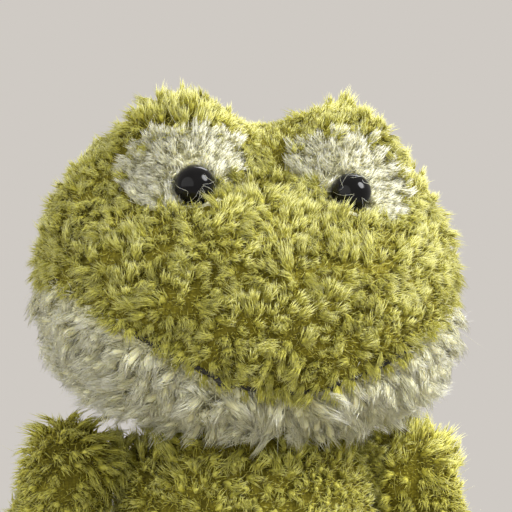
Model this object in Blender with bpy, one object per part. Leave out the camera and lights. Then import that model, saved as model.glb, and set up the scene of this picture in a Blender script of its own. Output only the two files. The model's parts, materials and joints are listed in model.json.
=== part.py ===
"""A seated plush frog, built as the separate pieces that it is sewn and stuffed from.

Units are metres, +Z is up, the frog faces -Y and its left is +X. The origin is the centre of
the flat seat that it sits on. Run it with blender --background --python part.py, or from
Blender's text editor.
"""

import math

import bmesh
import bpy
from mathutils import Matrix, Vector

MM = 0.001

# Cloth, seams and clearances
CLEARANCE = 0.3 * MM
PILE_WALL = 4.0 * MM
SEAM_THICKNESS = 1.6 * MM
CUT_OVERRUN = 5.0 * MM

# Torso, a pear that stands on a flat seat
TORSO_HEIGHT = 96.0 * MM
CHEST_WIDTH = 77.0 * MM
CHEST_DEPTH = 68.0 * MM
BELLY_WIDTH = 92.0 * MM
BELLY_DEPTH = 79.0 * MM
SEAT_WIDTH = 62.0 * MM
SEAT_DEPTH = 56.0 * MM
BELLY_FORWARD = 3.0 * MM
NECK_RADIUS = 25.0 * MM
BEAN_BAG_HEIGHT = 17.0 * MM
LABEL_WIDTH = 14.0 * MM
LABEL_LENGTH = 20.0 * MM
LABEL_THICKNESS = 0.8 * MM

# Head, wide cheeks under a flatter brow, with a muzzle in front, a jaw below and an eye dome
# at each side
SKULL_WIDTH = 127.0 * MM
SKULL_DEPTH = 90.0 * MM
SKULL_HEIGHT = 63.0 * MM
BROW_WIDTH = 125.0 * MM
BROW_DEPTH = 42.0 * MM
BROW_HEIGHT = 67.0 * MM
BROW_RISE = 10.0 * MM
BROW_FRONT = 17.0 * MM
NAPE_WIDTH = 108.0 * MM
NAPE_HEIGHT = 72.0 * MM
NAPE_REACH = 47.0 * MM
MUZZLE_WIDTH = 97.0 * MM
MUZZLE_HEIGHT = 58.0 * MM
MUZZLE_REACH = 52.0 * MM
JAW_WIDTH = 112.0 * MM
JAW_HEIGHT = 46.0 * MM
EYE_DOME_DIAMETER = 42.0 * MM
EYE_DOME_SPACING = 48.5 * MM
EYE_DOME_RISE = 30.5 * MM

# Mouth line, measured down from the head's centre
MOUTH_SIDE_DROP = 8.0 * MM
MOUTH_FRONT_DROP = 39.0 * MM
MOUTH_BACK_DROP = 40.0 * MM
MOUTH_THREAD_DIAMETER = 1.8 * MM

# Eyes, black safety beads on a shank, each held by a washer inside the cloth
EYE_DIAMETER = 12.0 * MM
EYE_SPACING = 46.5 * MM
EYE_RISE = 20.0 * MM
EYE_PROUD = 1.5 * MM
SHANK_DIAMETER = 4.4 * MM
SHANK_LENGTH = 13.0 * MM
WASHER_DIAMETER = 15.0 * MM
WASHER_THICKNESS = 1.6 * MM
PATCH_WIDTH = 39.0 * MM
PATCH_HEIGHT = 26.0 * MM
PATCH_SPACING = 50.0 * MM
PATCH_RISE = 26.5 * MM
PATCH_TILT = math.radians(12)

# Arms, each hanging from a ball-shaped shoulder
SHOULDER_RADIUS = 16.0 * MM
SHOULDER_DROP = 11.0 * MM
SHOULDER_SINK = 2.4 * MM
WRIST_RADIUS = 12.5 * MM
ARM_LENGTH = 54.0 * MM
ARM_SPLAY = math.radians(17)
ARM_FORWARD = math.radians(12)
HAND_WIDTH = 34.0 * MM
HAND_THICKNESS = 20.0 * MM
HAND_LENGTH = 32.0 * MM
FINGER_DIAMETER = 13.0 * MM

# Legs, each reaching forward from a ball-shaped hip
HIP_RADIUS = 18.5 * MM
HIP_SPACING = 77.0 * MM
HIP_FORWARD = 28.0 * MM
ANKLE_RADIUS = 13.5 * MM
LEG_LENGTH = 74.0 * MM
LEG_SPLAY = math.radians(15)
FOOT_WIDTH = 44.0 * MM
FOOT_HEIGHT = 46.0 * MM
FOOT_THICKNESS = 21.0 * MM
TOE_DIAMETER = 17.0 * MM

# How finely each form is faceted: round its axis, and from pole to pole
HEAD_FACETS = (36, 20)
HEAD_LINING_FACETS = (18, 11)
TORSO_FACETS = 24
TORSO_LINING_FACETS = 14
LIMB_FACETS = 14
LIMB_LINING_FACETS = 8
PAW_FACETS = (18, 11)
PAW_LINING_FACETS = (10, 6)
BEAD_FACETS = 12
CUTTER_FACETS = 18

# Colours, linear RGB
GREEN_PILE = (0.30, 0.27, 0.07)
CREAM_PILE = (0.52, 0.54, 0.36)
BLACK_BEAD = (0.006, 0.006, 0.005)
WASHER_WHITE = (0.75, 0.75, 0.72)
STUFFING_WHITE = (0.80, 0.80, 0.77)
PELLET_BAG_GREY = (0.42, 0.42, 0.40)
SEAM_GREEN = (0.13, 0.12, 0.03)
MOUTH_GREY = (0.05, 0.05, 0.045)
LABEL_WHITE = (0.82, 0.82, 0.80)

SIDES = {"right": -1, "left": 1}


def clear_scene():
    for found in list(bpy.data.objects):
        bpy.data.objects.remove(found, do_unlink=True)


def make_material(name, colour, roughness):
    material = bpy.data.materials.new(name)
    material.use_nodes = True
    shader = material.node_tree.nodes["Principled BSDF"]
    shader.inputs["Base Color"].default_value = (*colour, 1.0)
    shader.inputs["Roughness"].default_value = roughness
    shader.inputs["Metallic"].default_value = 0.0
    material.diffuse_color = (*colour, 1.0)
    return material


def make_pivot(name, location, parent=None):
    """An empty on a joint's axis. Its location is given in the frog's own frame."""
    pivot = bpy.data.objects.new(name, None)
    pivot.location = location
    if parent is not None:
        pivot.parent = parent
        pivot.location = location - place_of(parent)
    bpy.context.collection.objects.link(pivot)
    return pivot


def place_of(item):
    """Where an object or an empty stands. No parent here is turned or scaled."""
    place = Vector(item.location)
    while item.parent is not None:
        item = item.parent
        place += Vector(item.location)
    return place


def add_object(name, mesh_builder, centre, parent):
    """Give a bmesh its own object, centred at a point of the frog's frame."""
    mesh = bpy.data.meshes.new(name)
    bmesh.ops.triangulate(mesh_builder, faces=mesh_builder.faces, quad_method="FIXED")
    bmesh.ops.recalc_face_normals(mesh_builder, faces=mesh_builder.faces)
    if mesh_builder.calc_volume(signed=True) < 0:
        bmesh.ops.reverse_faces(mesh_builder, faces=mesh_builder.faces)
    mesh_builder.to_mesh(mesh)
    mesh_builder.free()
    item = bpy.data.objects.new(name, mesh)
    item.location = centre
    if parent is not None:
        item.parent = parent
        item.location = centre - place_of(parent)
    bpy.context.collection.objects.link(item)
    return item


def add_piece(name, mesh_builder, centre, parent, material, smooth=True):
    item = add_object(name, mesh_builder, centre, parent)
    item.data.materials.append(material)
    if smooth:
        item.data.shade_smooth()
    return item


def add_cutter(name, mesh_builder, centre):
    item = add_object(name, mesh_builder, centre, None)
    item.hide_render = True
    item.display_type = "WIRE"
    return item


def boolean(item, cutter, operation):
    modifier = item.modifiers.new(f"{operation.lower()} {cutter.name}", "BOOLEAN")
    modifier.operation = operation
    modifier.object = cutter
    modifier.solver = "EXACT"


def cut(item, *cutters):
    for cutter in cutters:
        boolean(item, cutter, "DIFFERENCE")


def keep(item, cutter):
    boolean(item, cutter, "INTERSECT")


def sphere(radius, facets):
    made = bmesh.new()
    bmesh.ops.create_uvsphere(made, u_segments=facets, v_segments=facets // 2, radius=radius)
    return made


def round_room(radius):
    """A faceted ball none of whose faces comes nearer to its middle than the radius."""
    return sphere(radius / math.cos(math.pi / CUTTER_FACETS) ** 2, CUTTER_FACETS)


def cylinder(radius, length, direction, facets=BEAD_FACETS):
    """A cylinder from the local origin along a direction."""
    made = bmesh.new()
    turn = direction.to_track_quat("Z", "Y").to_matrix().to_4x4()
    shift = Matrix.Translation(Vector((0, 0, length / 2)))
    bmesh.ops.create_cone(made, cap_ends=True, segments=facets, radius1=radius, radius2=radius,
                          depth=length, matrix=turn @ shift)
    return made


def ring(made, centre, across, along, facets):
    """A loop of verts on an ellipse whose half axes are the vectors across and along."""
    turn = 2 * math.pi / facets
    points = [centre + across * math.cos(turn * i) + along * math.sin(turn * i)
              for i in range(facets)]
    return [made.verts.new(point) for point in points]


def bridge(made, lower, upper):
    """Faces between two loops, either of which may be a single pole vert."""
    count = max(len(lower), len(upper))
    for i in range(count):
        corners = [lower[i % len(lower)], lower[(i + 1) % len(lower)],
                   upper[(i + 1) % len(upper)], upper[i % len(upper)]]
        made.faces.new(list(dict.fromkeys(corners)))


def turned(profile, direction, facets=BEAD_FACETS):
    """A solid of revolution on a direction. profile is (distance, radius) from end to end."""
    across = direction.orthogonal().normalized()
    along = direction.cross(across)
    made = bmesh.new()
    loops = [ring(made, direction * distance, across * radius, along * radius, facets)
             for distance, radius in profile]
    made.faces.new(loops[0])
    made.faces.new(loops[-1])
    for lower, upper in zip(loops, loops[1:]):
        bridge(made, lower, upper)
    return made


def box(low, high):
    made = bmesh.new()
    middle = (low + high) / 2
    stretch = Matrix.Diagonal((*(high - low), 1))
    bmesh.ops.create_cube(made, size=1, matrix=Matrix.Translation(middle) @ stretch)
    return made


# A lobe is an ellipsoid as (centre, half sizes, power). Lobes melt into one rounded form.

LOBE_SOFTNESS = 9
LOBE_SEARCH_STEPS = 40
ROUND = 2.0


def lobe_field(lobes, point):
    """More than 1 inside the melted lobes, 1 on their skin and less than 1 outside it."""
    total = 0.0
    for centre, half, power in lobes:
        offset = point - centre
        reach = sum(abs(offset[i] / half[i]) ** power for i in range(3)) ** (1 / power)
        if reach == 0:
            return math.inf
        total += reach ** -LOBE_SOFTNESS
    return total


def reach_along(direction, lobes):
    """The distance from the form's centre out to the skin of its lobes."""
    near = 0.0
    far = 2 * max(centre.length + max(half) for centre, half, _ in lobes)
    for _ in range(LOBE_SEARCH_STEPS):
        middle = (near + far) / 2
        if lobe_field(lobes, direction * middle) > 1:
            near = middle
        else:
            far = middle
    return near


def lobed_form(lobes, facets, inset=0):
    """A sphere whose points are drawn out to the skin of the lobes, less an inset."""
    made = bmesh.new()
    bmesh.ops.create_uvsphere(made, u_segments=facets[0], v_segments=facets[1], radius=1)
    for vert in made.verts:
        direction = vert.co.normalized()
        vert.co = direction * (reach_along(direction, lobes) - inset)
    return made


CAP_ANGLE_SHARES = (0.0, 0.34, 0.68)


def limb_form(stations, tip_length, axis, across, facets, inset=0, flat_tip=False):
    """A stuffed tube along an axis, with a ball at its root and a dome or a flat at its tip.

    Each station is (distance, half width, half depth, sideways offset). The first one is the
    root ball's equator, with the ball's radius as its half width.
    """
    along = axis.cross(across)
    made = bmesh.new()
    root_radius = stations[0][1] - inset
    loops = []
    for share in CAP_ANGLE_SHARES:
        angle = share * math.pi / 2
        centre = axis * (-root_radius * math.cos(angle))
        loop_radius = root_radius * math.sin(angle)
        if share == 0:
            loops.append([made.verts.new(centre)])
        else:
            loops.append(ring(made, centre, across * loop_radius, along * loop_radius, facets))
    squeeze = 1 - inset / stations[-1][0] if flat_tip else 1
    for distance, half_width, half_depth, offset in stations[:-1]:
        centre = axis * distance * squeeze + along * offset
        loops.append(ring(made, centre, across * (half_width - inset),
                          along * (half_depth - inset), facets))
    distance, half_width, half_depth, offset = stations[-1]
    if flat_tip:
        loops.append(ring(made, axis * (distance - inset) + along * offset,
                          across * (half_width - inset), along * (half_depth - inset), facets))
        made.faces.new(loops[-1])
    else:
        for share in CAP_ANGLE_SHARES:
            angle = share * math.pi / 2
            centre = axis * (distance + (tip_length - inset) * math.sin(angle)) + along * offset
            loops.append(ring(made, centre, across * (half_width - inset) * math.cos(angle),
                              along * (half_depth - inset) * math.cos(angle), facets))
        loops.append([made.verts.new(axis * (distance + tip_length - inset) + along * offset)])
    for lower, upper in zip(loops, loops[1:]):
        bridge(made, lower, upper)
    return made


# Where each seam ring starts and ends, in shares of the half turn from its axis

NECK_SEAM_SHARES = (0.20, 0.27)
SHOULDER_SEAM_SHARES = (0.11, 0.165)
HIP_SEAM_SHARES = (0.30, 0.36)


def seam_ring(radius, axis, shares, facets):
    """A sewn ring: a band of a hollow ball, between two shares of the half turn from its axis."""
    start_share, end_share = shares
    across = axis.orthogonal().normalized()
    along = axis.cross(across)
    made = bmesh.new()
    loops = []
    corners = ((radius, start_share), (radius, end_share),
               (radius + SEAM_THICKNESS, end_share), (radius + SEAM_THICKNESS, start_share))
    for distance, share in corners:
        angle = share * math.pi
        around = distance * math.sin(angle)
        loops.append(ring(made, axis * (distance * math.cos(angle)), across * around,
                          along * around, facets))
    for lower, upper in zip(loops, loops[1:] + loops[:1]):
        bridge(made, lower, upper)
    return made


def socket_radius(ball_radius):
    """The hollow that takes a ball with its seam ring round it, each with a clearance."""
    return ball_radius + CLEARANCE + SEAM_THICKNESS + CLEARANCE


# Places that the pieces share

NECK = Vector((0, 0, TORSO_HEIGHT))
SKULL_FLOOR_SHARE = 0.30
HEAD_CENTRE = NECK + Vector((0, 0, MOUTH_FRONT_DROP + SKULL_FLOOR_SHARE * JAW_HEIGHT))
SHOULDER_HEIGHT = TORSO_HEIGHT - SHOULDER_DROP
HIP_HEIGHT = HIP_RADIUS + CLEARANCE
FORWARD = Vector((0, -1, 0))
UP = Vector((0, 0, 1))


def shoulder_place(sign):
    reach = CHEST_WIDTH / 2 + socket_radius(SHOULDER_RADIUS) - SHOULDER_SINK
    return Vector((sign * reach, 0, SHOULDER_HEIGHT))


def arm_axis(sign):
    down = Vector((sign * math.tan(ARM_SPLAY), -math.tan(ARM_FORWARD), -1))
    return down.normalized()


def hip_place(sign):
    return Vector((sign * HIP_SPACING / 2, -HIP_FORWARD, HIP_HEIGHT))


LEG_DROP_SHARE = 0.4


def leg_axis(sign):
    drop = (HIP_RADIUS - ANKLE_RADIUS) * LEG_DROP_SHARE
    flat = math.sqrt(LEG_LENGTH ** 2 - drop ** 2)
    reach = Vector((sign * flat * math.sin(LEG_SPLAY), -flat * math.cos(LEG_SPLAY), -drop))
    return reach.normalized()


def ankle_place(sign):
    return hip_place(sign) + leg_axis(sign) * LEG_LENGTH


# Torso

TORSO_STATION_SHARES = (
    # height share, how far from the chest's size towards the belly's, flare below 1
    (0.965, 0.0, 0.78),
    (0.91, 0.0, 0.93),
    (0.82, 0.0, 1.0),
    (0.64, 0.40, 1.0),
    (0.46, 0.90, 1.0),
    (0.28, 1.0, 1.0),
    (0.13, 1.0, 0.93),
    (0.045, 1.0, 0.81),
)
SIDE_SEAM_SHARE = 0.06
LABEL_HEIGHT_SHARE = 0.16
SEAT_SPREAD_SHARE = 0.87


def torso_stations():
    stations = [(0, NECK_RADIUS, NECK_RADIUS, 0)]
    for height, belly, flare in TORSO_STATION_SHARES:
        width = CHEST_WIDTH + (BELLY_WIDTH - CHEST_WIDTH) * belly
        depth = CHEST_DEPTH + (BELLY_DEPTH - CHEST_DEPTH) * belly
        stations.append((TORSO_HEIGHT * (1 - height), width / 2 * flare, depth / 2 * flare,
                         BELLY_FORWARD * belly))
    stations.append((TORSO_HEIGHT, SEAT_WIDTH / 2, SEAT_DEPTH / 2, BELLY_FORWARD))
    return stations


def torso_form(facets, inset=0):
    return limb_form(torso_stations(), 0, -UP, Vector((1, 0, 0)), facets, inset, flat_tip=True)


def build_torso(materials):
    body = make_pivot("torso_frame", Vector((0, 0, 0)))
    lining = add_cutter("torso_lining_cutter", torso_form(TORSO_LINING_FACETS, PILE_WALL), NECK)
    sockets = []
    for side, sign in SIDES.items():
        sockets.append(add_cutter(f"{side}_shoulder_socket_cutter",
                                  round_room(socket_radius(SHOULDER_RADIUS)), shoulder_place(sign)))
        sockets.append(add_cutter(f"{side}_hip_socket_cutter",
                                  round_room(socket_radius(HIP_RADIUS)), hip_place(sign)))
    reach = TORSO_HEIGHT + NECK_RADIUS + CUT_OVERRUN
    spread = BELLY_WIDTH
    seam = SIDE_SEAM_SHARE * BELLY_DEPTH
    gap = CLEARANCE / 2
    seat_height = PILE_WALL + CLEARANCE
    front_half = add_cutter("front_half_cutter", box(
        Vector((-spread, -spread, seat_height)), Vector((spread, seam - gap, reach))),
        Vector((0, 0, 0)))
    back_half = add_cutter("back_half_cutter", box(
        Vector((-spread, seam + gap, seat_height)), Vector((spread, spread, reach))),
        Vector((0, 0, 0)))
    neck_mouth = add_cutter("neck_mouth_cutter", cylinder(
        NECK_RADIUS / 2, NECK_RADIUS + CUT_OVERRUN, UP), NECK)
    for name, half in (("torso_front_panel", front_half), ("torso_back_panel", back_half)):
        panel = add_piece(name, torso_form(TORSO_FACETS), NECK, body, materials["green_pile"])
        keep(panel, half)
        cut(panel, lining, neck_mouth, *sockets)
    build_seat(body, sockets, materials)
    build_filling(body, sockets, materials)
    build_label(body, materials)
    return body


def build_seat(body, sockets, materials):
    """The oval panel that closes the torso below, flat on its underside."""
    made = bmesh.new()
    loops = []
    rows = ((0, SEAT_WIDTH, SEAT_DEPTH),
            (PILE_WALL / 2, SEAT_WIDTH / SEAT_SPREAD_SHARE, SEAT_DEPTH / SEAT_SPREAD_SHARE),
            (PILE_WALL, SEAT_WIDTH, SEAT_DEPTH))
    for height, width, depth in rows:
        loops.append(ring(made, Vector((0, -BELLY_FORWARD, height)), Vector((width / 2, 0, 0)),
                          Vector((0, depth / 2, 0)), TORSO_FACETS))
    made.faces.new(loops[0])
    made.faces.new(loops[-1])
    for lower, upper in zip(loops, loops[1:]):
        bridge(made, lower, upper)
    seat = add_piece("seat_panel", made, Vector((0, 0, 0)), body, materials["green_pile"],
                     smooth=False)
    cut(seat, *sockets)


def build_filling(body, sockets, materials):
    """Fibre in the torso, over a bag of pellets that weights the seat."""
    inset = PILE_WALL + CLEARANCE
    spread = BELLY_WIDTH
    top = TORSO_HEIGHT + NECK_RADIUS
    split = PILE_WALL + BEAN_BAG_HEIGHT
    below = add_cutter("pellet_level_cutter", box(
        Vector((-spread, -spread, -CUT_OVERRUN)), Vector((spread, spread, split + CLEARANCE))),
        Vector((0, 0, 0)))
    above = add_cutter("fibre_level_cutter", box(
        Vector((-spread, -spread, split)), Vector((spread, spread, top))), Vector((0, 0, 0)))
    stuffing = add_piece("torso_stuffing", torso_form(TORSO_LINING_FACETS, inset), NECK, body,
                         materials["stuffing"])
    cut(stuffing, below, *sockets)
    bag = add_piece("pellet_bag", torso_form(TORSO_LINING_FACETS, inset), NECK, body,
                    materials["pellet_bag"])
    cut(bag, above, *sockets)


def build_label(body, materials):
    """The blank care label, caught in the seam at the back of the seat."""
    height = LABEL_HEIGHT_SHARE * TORSO_HEIGHT
    back = BELLY_DEPTH / 2 - BELLY_FORWARD + CLEARANCE
    low = Vector((-LABEL_WIDTH / 2, back, height))
    high = low + Vector((LABEL_WIDTH, LABEL_THICKNESS, LABEL_LENGTH))
    add_piece("care_label", box(low, high), Vector((0, 0, 0)), body, materials["label"],
              smooth=False)


# Head

SKULL_BACK_SHARE = 0.03
SKULL_DROP_SHARE = 0.14
SKULL_POWER = 2.5
NAPE_BACK_SHARE = 0.30
NAPE_RISE_SHARE = 0.05
MUZZLE_BACK_SHARE = 0.66
MUZZLE_DROP_SHARE = 0.22
JAW_DROP_SHARE = 0.60
JAW_FORWARD_SHARE = 0.07
JAW_DEPTH_SHARE = 0.96
DOME_DEPTH_SHARE = 0.80
DOME_BACK_SHARE = -0.10
PATCH_BACK_SHARE = 0.05


def head_lobes():
    """Lobes about the head's centre, which lies between the cheeks."""
    muzzle_half_depth = MUZZLE_REACH * MUZZLE_BACK_SHARE
    jaw_half_depth = SKULL_DEPTH / 2 * JAW_DEPTH_SHARE
    lobes = [
        (Vector((0, SKULL_DEPTH * SKULL_BACK_SHARE, -SKULL_HEIGHT * SKULL_DROP_SHARE)),
         Vector((SKULL_WIDTH, SKULL_DEPTH, SKULL_HEIGHT)) / 2, SKULL_POWER),
        (Vector((0, BROW_DEPTH / 2 - BROW_FRONT, BROW_RISE)),
         Vector((BROW_WIDTH, BROW_DEPTH, BROW_HEIGHT)) / 2, SKULL_POWER),
        (Vector((0, NAPE_REACH * NAPE_BACK_SHARE, NAPE_HEIGHT * NAPE_RISE_SHARE)),
         Vector((NAPE_WIDTH / 2, NAPE_REACH * (1 - NAPE_BACK_SHARE), NAPE_HEIGHT / 2)), ROUND),
        (Vector((0, -(MUZZLE_REACH - muzzle_half_depth), -MUZZLE_HEIGHT * MUZZLE_DROP_SHARE)),
         Vector((MUZZLE_WIDTH / 2, muzzle_half_depth, MUZZLE_HEIGHT / 2)), ROUND),
        (Vector((0, -SKULL_DEPTH * JAW_FORWARD_SHARE, -JAW_HEIGHT * JAW_DROP_SHARE)),
         Vector((JAW_WIDTH / 2, jaw_half_depth, JAW_HEIGHT / 2)), SKULL_POWER),
    ]
    for sign in SIDES.values():
        half = Vector((1, DOME_DEPTH_SHARE, 1)) * EYE_DOME_DIAMETER / 2
        centre = Vector((sign * EYE_DOME_SPACING / 2, EYE_DOME_DIAMETER * DOME_BACK_SHARE,
                         EYE_DOME_RISE))
        lobes.append((centre, half, ROUND))
    return lobes


def mouth_drop(turn):
    """How far the mouth line lies below the head's centre, at a turn from straight ahead."""
    if abs(turn) < math.pi / 2:
        far_drop = MOUTH_FRONT_DROP
    else:
        far_drop = MOUTH_BACK_DROP
    return MOUTH_SIDE_DROP + (far_drop - MOUTH_SIDE_DROP) * math.cos(turn) ** 2


MOUTH_SEARCH_STEPS = 24


def mouth_point(turn, lobes, proud=0):
    """The point of the mouth line on the skin of the head, at a turn from straight ahead."""
    outward = Vector((math.sin(turn), -math.cos(turn), 0))
    height = -mouth_drop(turn)
    low = 0.0
    high = SKULL_WIDTH
    for _ in range(MOUTH_SEARCH_STEPS):
        middle = (low + high) / 2
        if lobe_field(lobes, outward * middle + UP * height) > 1:
            low = middle
        else:
            high = middle
    skin = outward * low + UP * height
    return skin + skin.normalized() * proud


def below_mouth(lobes, lift):
    """The room below the mouth line: a fan from the head's middle out past its skin."""
    made = bmesh.new()
    shift = UP * lift
    hub = UP * -MOUTH_SIDE_DROP + shift
    rim = []
    floor = []
    facets = HEAD_FACETS[0]
    for i in range(facets):
        turn = 2 * math.pi * (i + 1 / 2) / facets - math.pi
        skin = mouth_point(turn, lobes) + shift
        outer = hub + (skin - hub) * 2
        rim.append(made.verts.new(outer))
        floor.append(made.verts.new(Vector((outer.x, outer.y, -2 * SKULL_HEIGHT))))
    bridge(made, [made.verts.new(hub)], rim)
    bridge(made, rim, floor)
    made.faces.new(floor)
    return made


def patch_prism(sign, shrink):
    """The oval outline of an eye patch, run back from in front of the face."""
    facets = CUTTER_FACETS
    middle = Vector((sign * PATCH_SPACING / 2, 0, PATCH_RISE))
    across = Vector((sign * math.cos(PATCH_TILT), 0, -math.sin(PATCH_TILT)))
    along = Vector((sign * math.sin(PATCH_TILT), 0, math.cos(PATCH_TILT)))
    made = bmesh.new()
    loops = []
    back = -PATCH_BACK_SHARE * EYE_DOME_DIAMETER - shrink
    for depth in (-SKULL_DEPTH, back):
        loops.append(ring(made, middle + Vector((0, depth, 0)),
                          across * (PATCH_WIDTH / 2 - shrink),
                          along * (PATCH_HEIGHT / 2 - shrink), facets))
    bridge(made, *loops)
    made.faces.new(loops[0])
    made.faces.new(loops[1])
    return made


def front_skin(x, z, lobes):
    """The depth of the head's skin straight ahead of a point of its middle plane."""
    inside = 0.0
    outside = -2 * SKULL_DEPTH
    for _ in range(MOUTH_SEARCH_STEPS):
        middle = (inside + outside) / 2
        if lobe_field(lobes, Vector((x, middle, z))) > 1:
            inside = middle
        else:
            outside = middle
    return inside


def into_skin(point, lobes):
    """The direction straight into the head at a point of its skin."""
    step = PILE_WALL / 2
    slope = Vector()
    for index in range(3):
        shift = Vector()
        shift[index] = step
        slope[index] = lobe_field(lobes, point + shift) - lobe_field(lobes, point - shift)
    return slope.normalized()


def build_eye(side, sign, head, lobes, materials):
    """A bead with its shank, and the washer. Returns the room that they need in the cloth."""
    x = sign * EYE_SPACING / 2
    skin = Vector((x, front_skin(x, EYE_RISE, lobes), EYE_RISE))
    back = into_skin(skin, lobes)
    centre = HEAD_CENTRE + skin - back * EYE_PROUD
    bead = add_piece(f"{side}_eye", sphere(EYE_DIAMETER / 2, BEAD_FACETS), centre, head,
                     materials["bead"])
    shank = add_cutter(f"{side}_eye_shank", cylinder(
        SHANK_DIAMETER / 2, EYE_DIAMETER / 2 + SHANK_LENGTH, back, BEAD_FACETS // 2), centre)
    boolean(bead, shank, "UNION")
    washer_place = centre + back * (EYE_DIAMETER / 2 + PILE_WALL)
    washer = add_piece(f"{side}_eye_washer", cylinder(
        WASHER_DIAMETER / 2, WASHER_THICKNESS, back), washer_place, head, materials["washer"])
    bore = add_cutter(f"{side}_washer_bore", cylinder(
        SHANK_DIAMETER / 2 + CLEARANCE, EYE_DIAMETER + SHANK_LENGTH, back), centre)
    cut(washer, bore)
    tunnel = SHANK_DIAMETER / 2 + CLEARANCE
    tunnel_end = EYE_DIAMETER / 2 + SHANK_LENGTH + CLEARANCE
    seat = EYE_DIAMETER / 2 + CLEARANCE
    pocket = WASHER_DIAMETER / 2 + CLEARANCE
    pocket_start = EYE_DIAMETER / 2 + PILE_WALL - CLEARANCE
    pocket_end = pocket_start + WASHER_THICKNESS + 2 * CLEARANCE
    behind = [(pocket_end, pocket), (pocket_end, tunnel), (tunnel_end, tunnel)]
    front = [(-seat * math.cos(angle), seat * math.sin(angle))
             for angle in bead_angles(tunnel / seat)]
    cloth_room = add_cutter(f"{side}_eye_room_in_cloth", turned(
        front + [(pocket_start, tunnel), (pocket_start, pocket)] + behind, back), centre)
    filling_room = add_cutter(f"{side}_eye_room_in_filling", turned(
        [(-seat, pocket)] + behind, back), centre)
    return cloth_room, filling_room


def bead_angles(shank_share):
    """Angles from a bead's front to where its shank leaves it, the front cut just flat."""
    first = math.asin(shank_share) / 2
    last = math.pi - math.asin(shank_share)
    count = BEAD_FACETS // 2
    return [first + (last - first) * step / count for step in range(count + 1)]


def head_piece(name, lobes, head, material, facets=HEAD_FACETS, inset=0):
    return add_piece(name, lobed_form(lobes, facets, inset), HEAD_CENTRE, head, material)


def build_head(body, materials):
    turn = make_pivot("neck_turn_axis", NECK, body)
    nod = make_pivot("neck_nod_axis", NECK, turn)
    lobes = head_lobes()
    lining = add_cutter("head_lining_cutter",
                        lobed_form(lobes, HEAD_LINING_FACETS, PILE_WALL), HEAD_CENTRE)
    socket = add_cutter("neck_socket_cutter", round_room(socket_radius(NECK_RADIUS)), NECK)
    below = add_cutter("below_mouth_cutter", below_mouth(lobes, 0), HEAD_CENTRE)
    jaw_room = add_cutter("jaw_room_cutter", below_mouth(lobes, CLEARANCE), HEAD_CENTRE)
    crown = head_piece("crown_panel", lobes, nod, materials["green_pile"])
    cut(crown, lining, jaw_room)
    jaw = head_piece("jaw_panel", lobes, nod, materials["cream_pile"])
    keep(jaw, below)
    cut(jaw, lining, socket)
    filling = head_piece("head_stuffing", lobes, nod, materials["stuffing"],
                         HEAD_LINING_FACETS, PILE_WALL + CLEARANCE)
    cut(filling, socket)
    for side, sign in SIDES.items():
        cloth_room, filling_room = build_eye(side, sign, nod, lobes, materials)
        outline = add_cutter(f"{side}_patch_cutter", patch_prism(sign, CLEARANCE), HEAD_CENTRE)
        patch_room = add_cutter(f"{side}_patch_room_cutter", patch_prism(sign, 0), HEAD_CENTRE)
        patch = head_piece(f"{side}_eye_patch", lobes, nod, materials["cream_pile"])
        keep(patch, outline)
        cut(patch, lining, cloth_room)
        cut(crown, patch_room, cloth_room)
        cut(filling, filling_room)
    build_mouth_thread(nod, lobes, materials)
    add_piece("neck_seam", seam_ring(NECK_RADIUS + CLEARANCE, UP, NECK_SEAM_SHARES,
                                     CUTTER_FACETS), NECK, turn, materials["seam"])
    return nod


MOUTH_THREAD_POINTS = 17
MOUTH_THREAD_TURN = math.radians(50)


def build_mouth_thread(head, lobes, materials):
    """One thick stitch along the mouth line, lying on the seam of crown and jaw."""
    radius = MOUTH_THREAD_DIAMETER / 2
    curve = bpy.data.curves.new("mouth_thread", "CURVE")
    curve.dimensions = "3D"
    curve.bevel_depth = radius
    curve.bevel_resolution = 1
    curve.use_fill_caps = True
    spline = curve.splines.new("POLY")
    spline.points.add(MOUTH_THREAD_POINTS - 1)
    for index in range(MOUTH_THREAD_POINTS):
        turn = MOUTH_THREAD_TURN * (2 * index / (MOUTH_THREAD_POINTS - 1) - 1)
        point = mouth_point(turn, lobes, radius + CLEARANCE)
        spline.points[index].co = (*point, 1)
    thread = bpy.data.objects.new("mouth_thread", curve)
    thread.location = HEAD_CENTRE - NECK
    thread.parent = head
    curve.materials.append(materials["mouth_thread"])
    bpy.context.collection.objects.link(thread)


# Arms and legs

ARM_STATION_SHARES = (
    # share of the arm's length, how far from the shoulder's radius to the wrist's
    (0.42, 0.40),
    (0.72, 0.85),
    (1.0, 1.0),
)
LEG_STATION_SHARES = (
    (0.40, 0.14),
    (0.62, 0.50),
    (0.82, 0.88),
    (1.0, 1.0),
)
SEAM_MOUTH_SHARE = 0.36
BALL_END_ANGLE = math.radians(20)


def tapered_stations(root_radius, tip_radius, length, shares):
    """Stations of a limb whose root is a ball until just past its equator."""
    stations = [(0, root_radius, root_radius, 0)]
    ball_end = root_radius * math.cos(BALL_END_ANGLE)
    stations.append((root_radius * math.sin(BALL_END_ANGLE), ball_end, ball_end, 0))
    for distance, taper in shares:
        radius = ball_end + (tip_radius - ball_end) * taper
        stations.append((length * distance, radius, radius, 0))
    return stations


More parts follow.
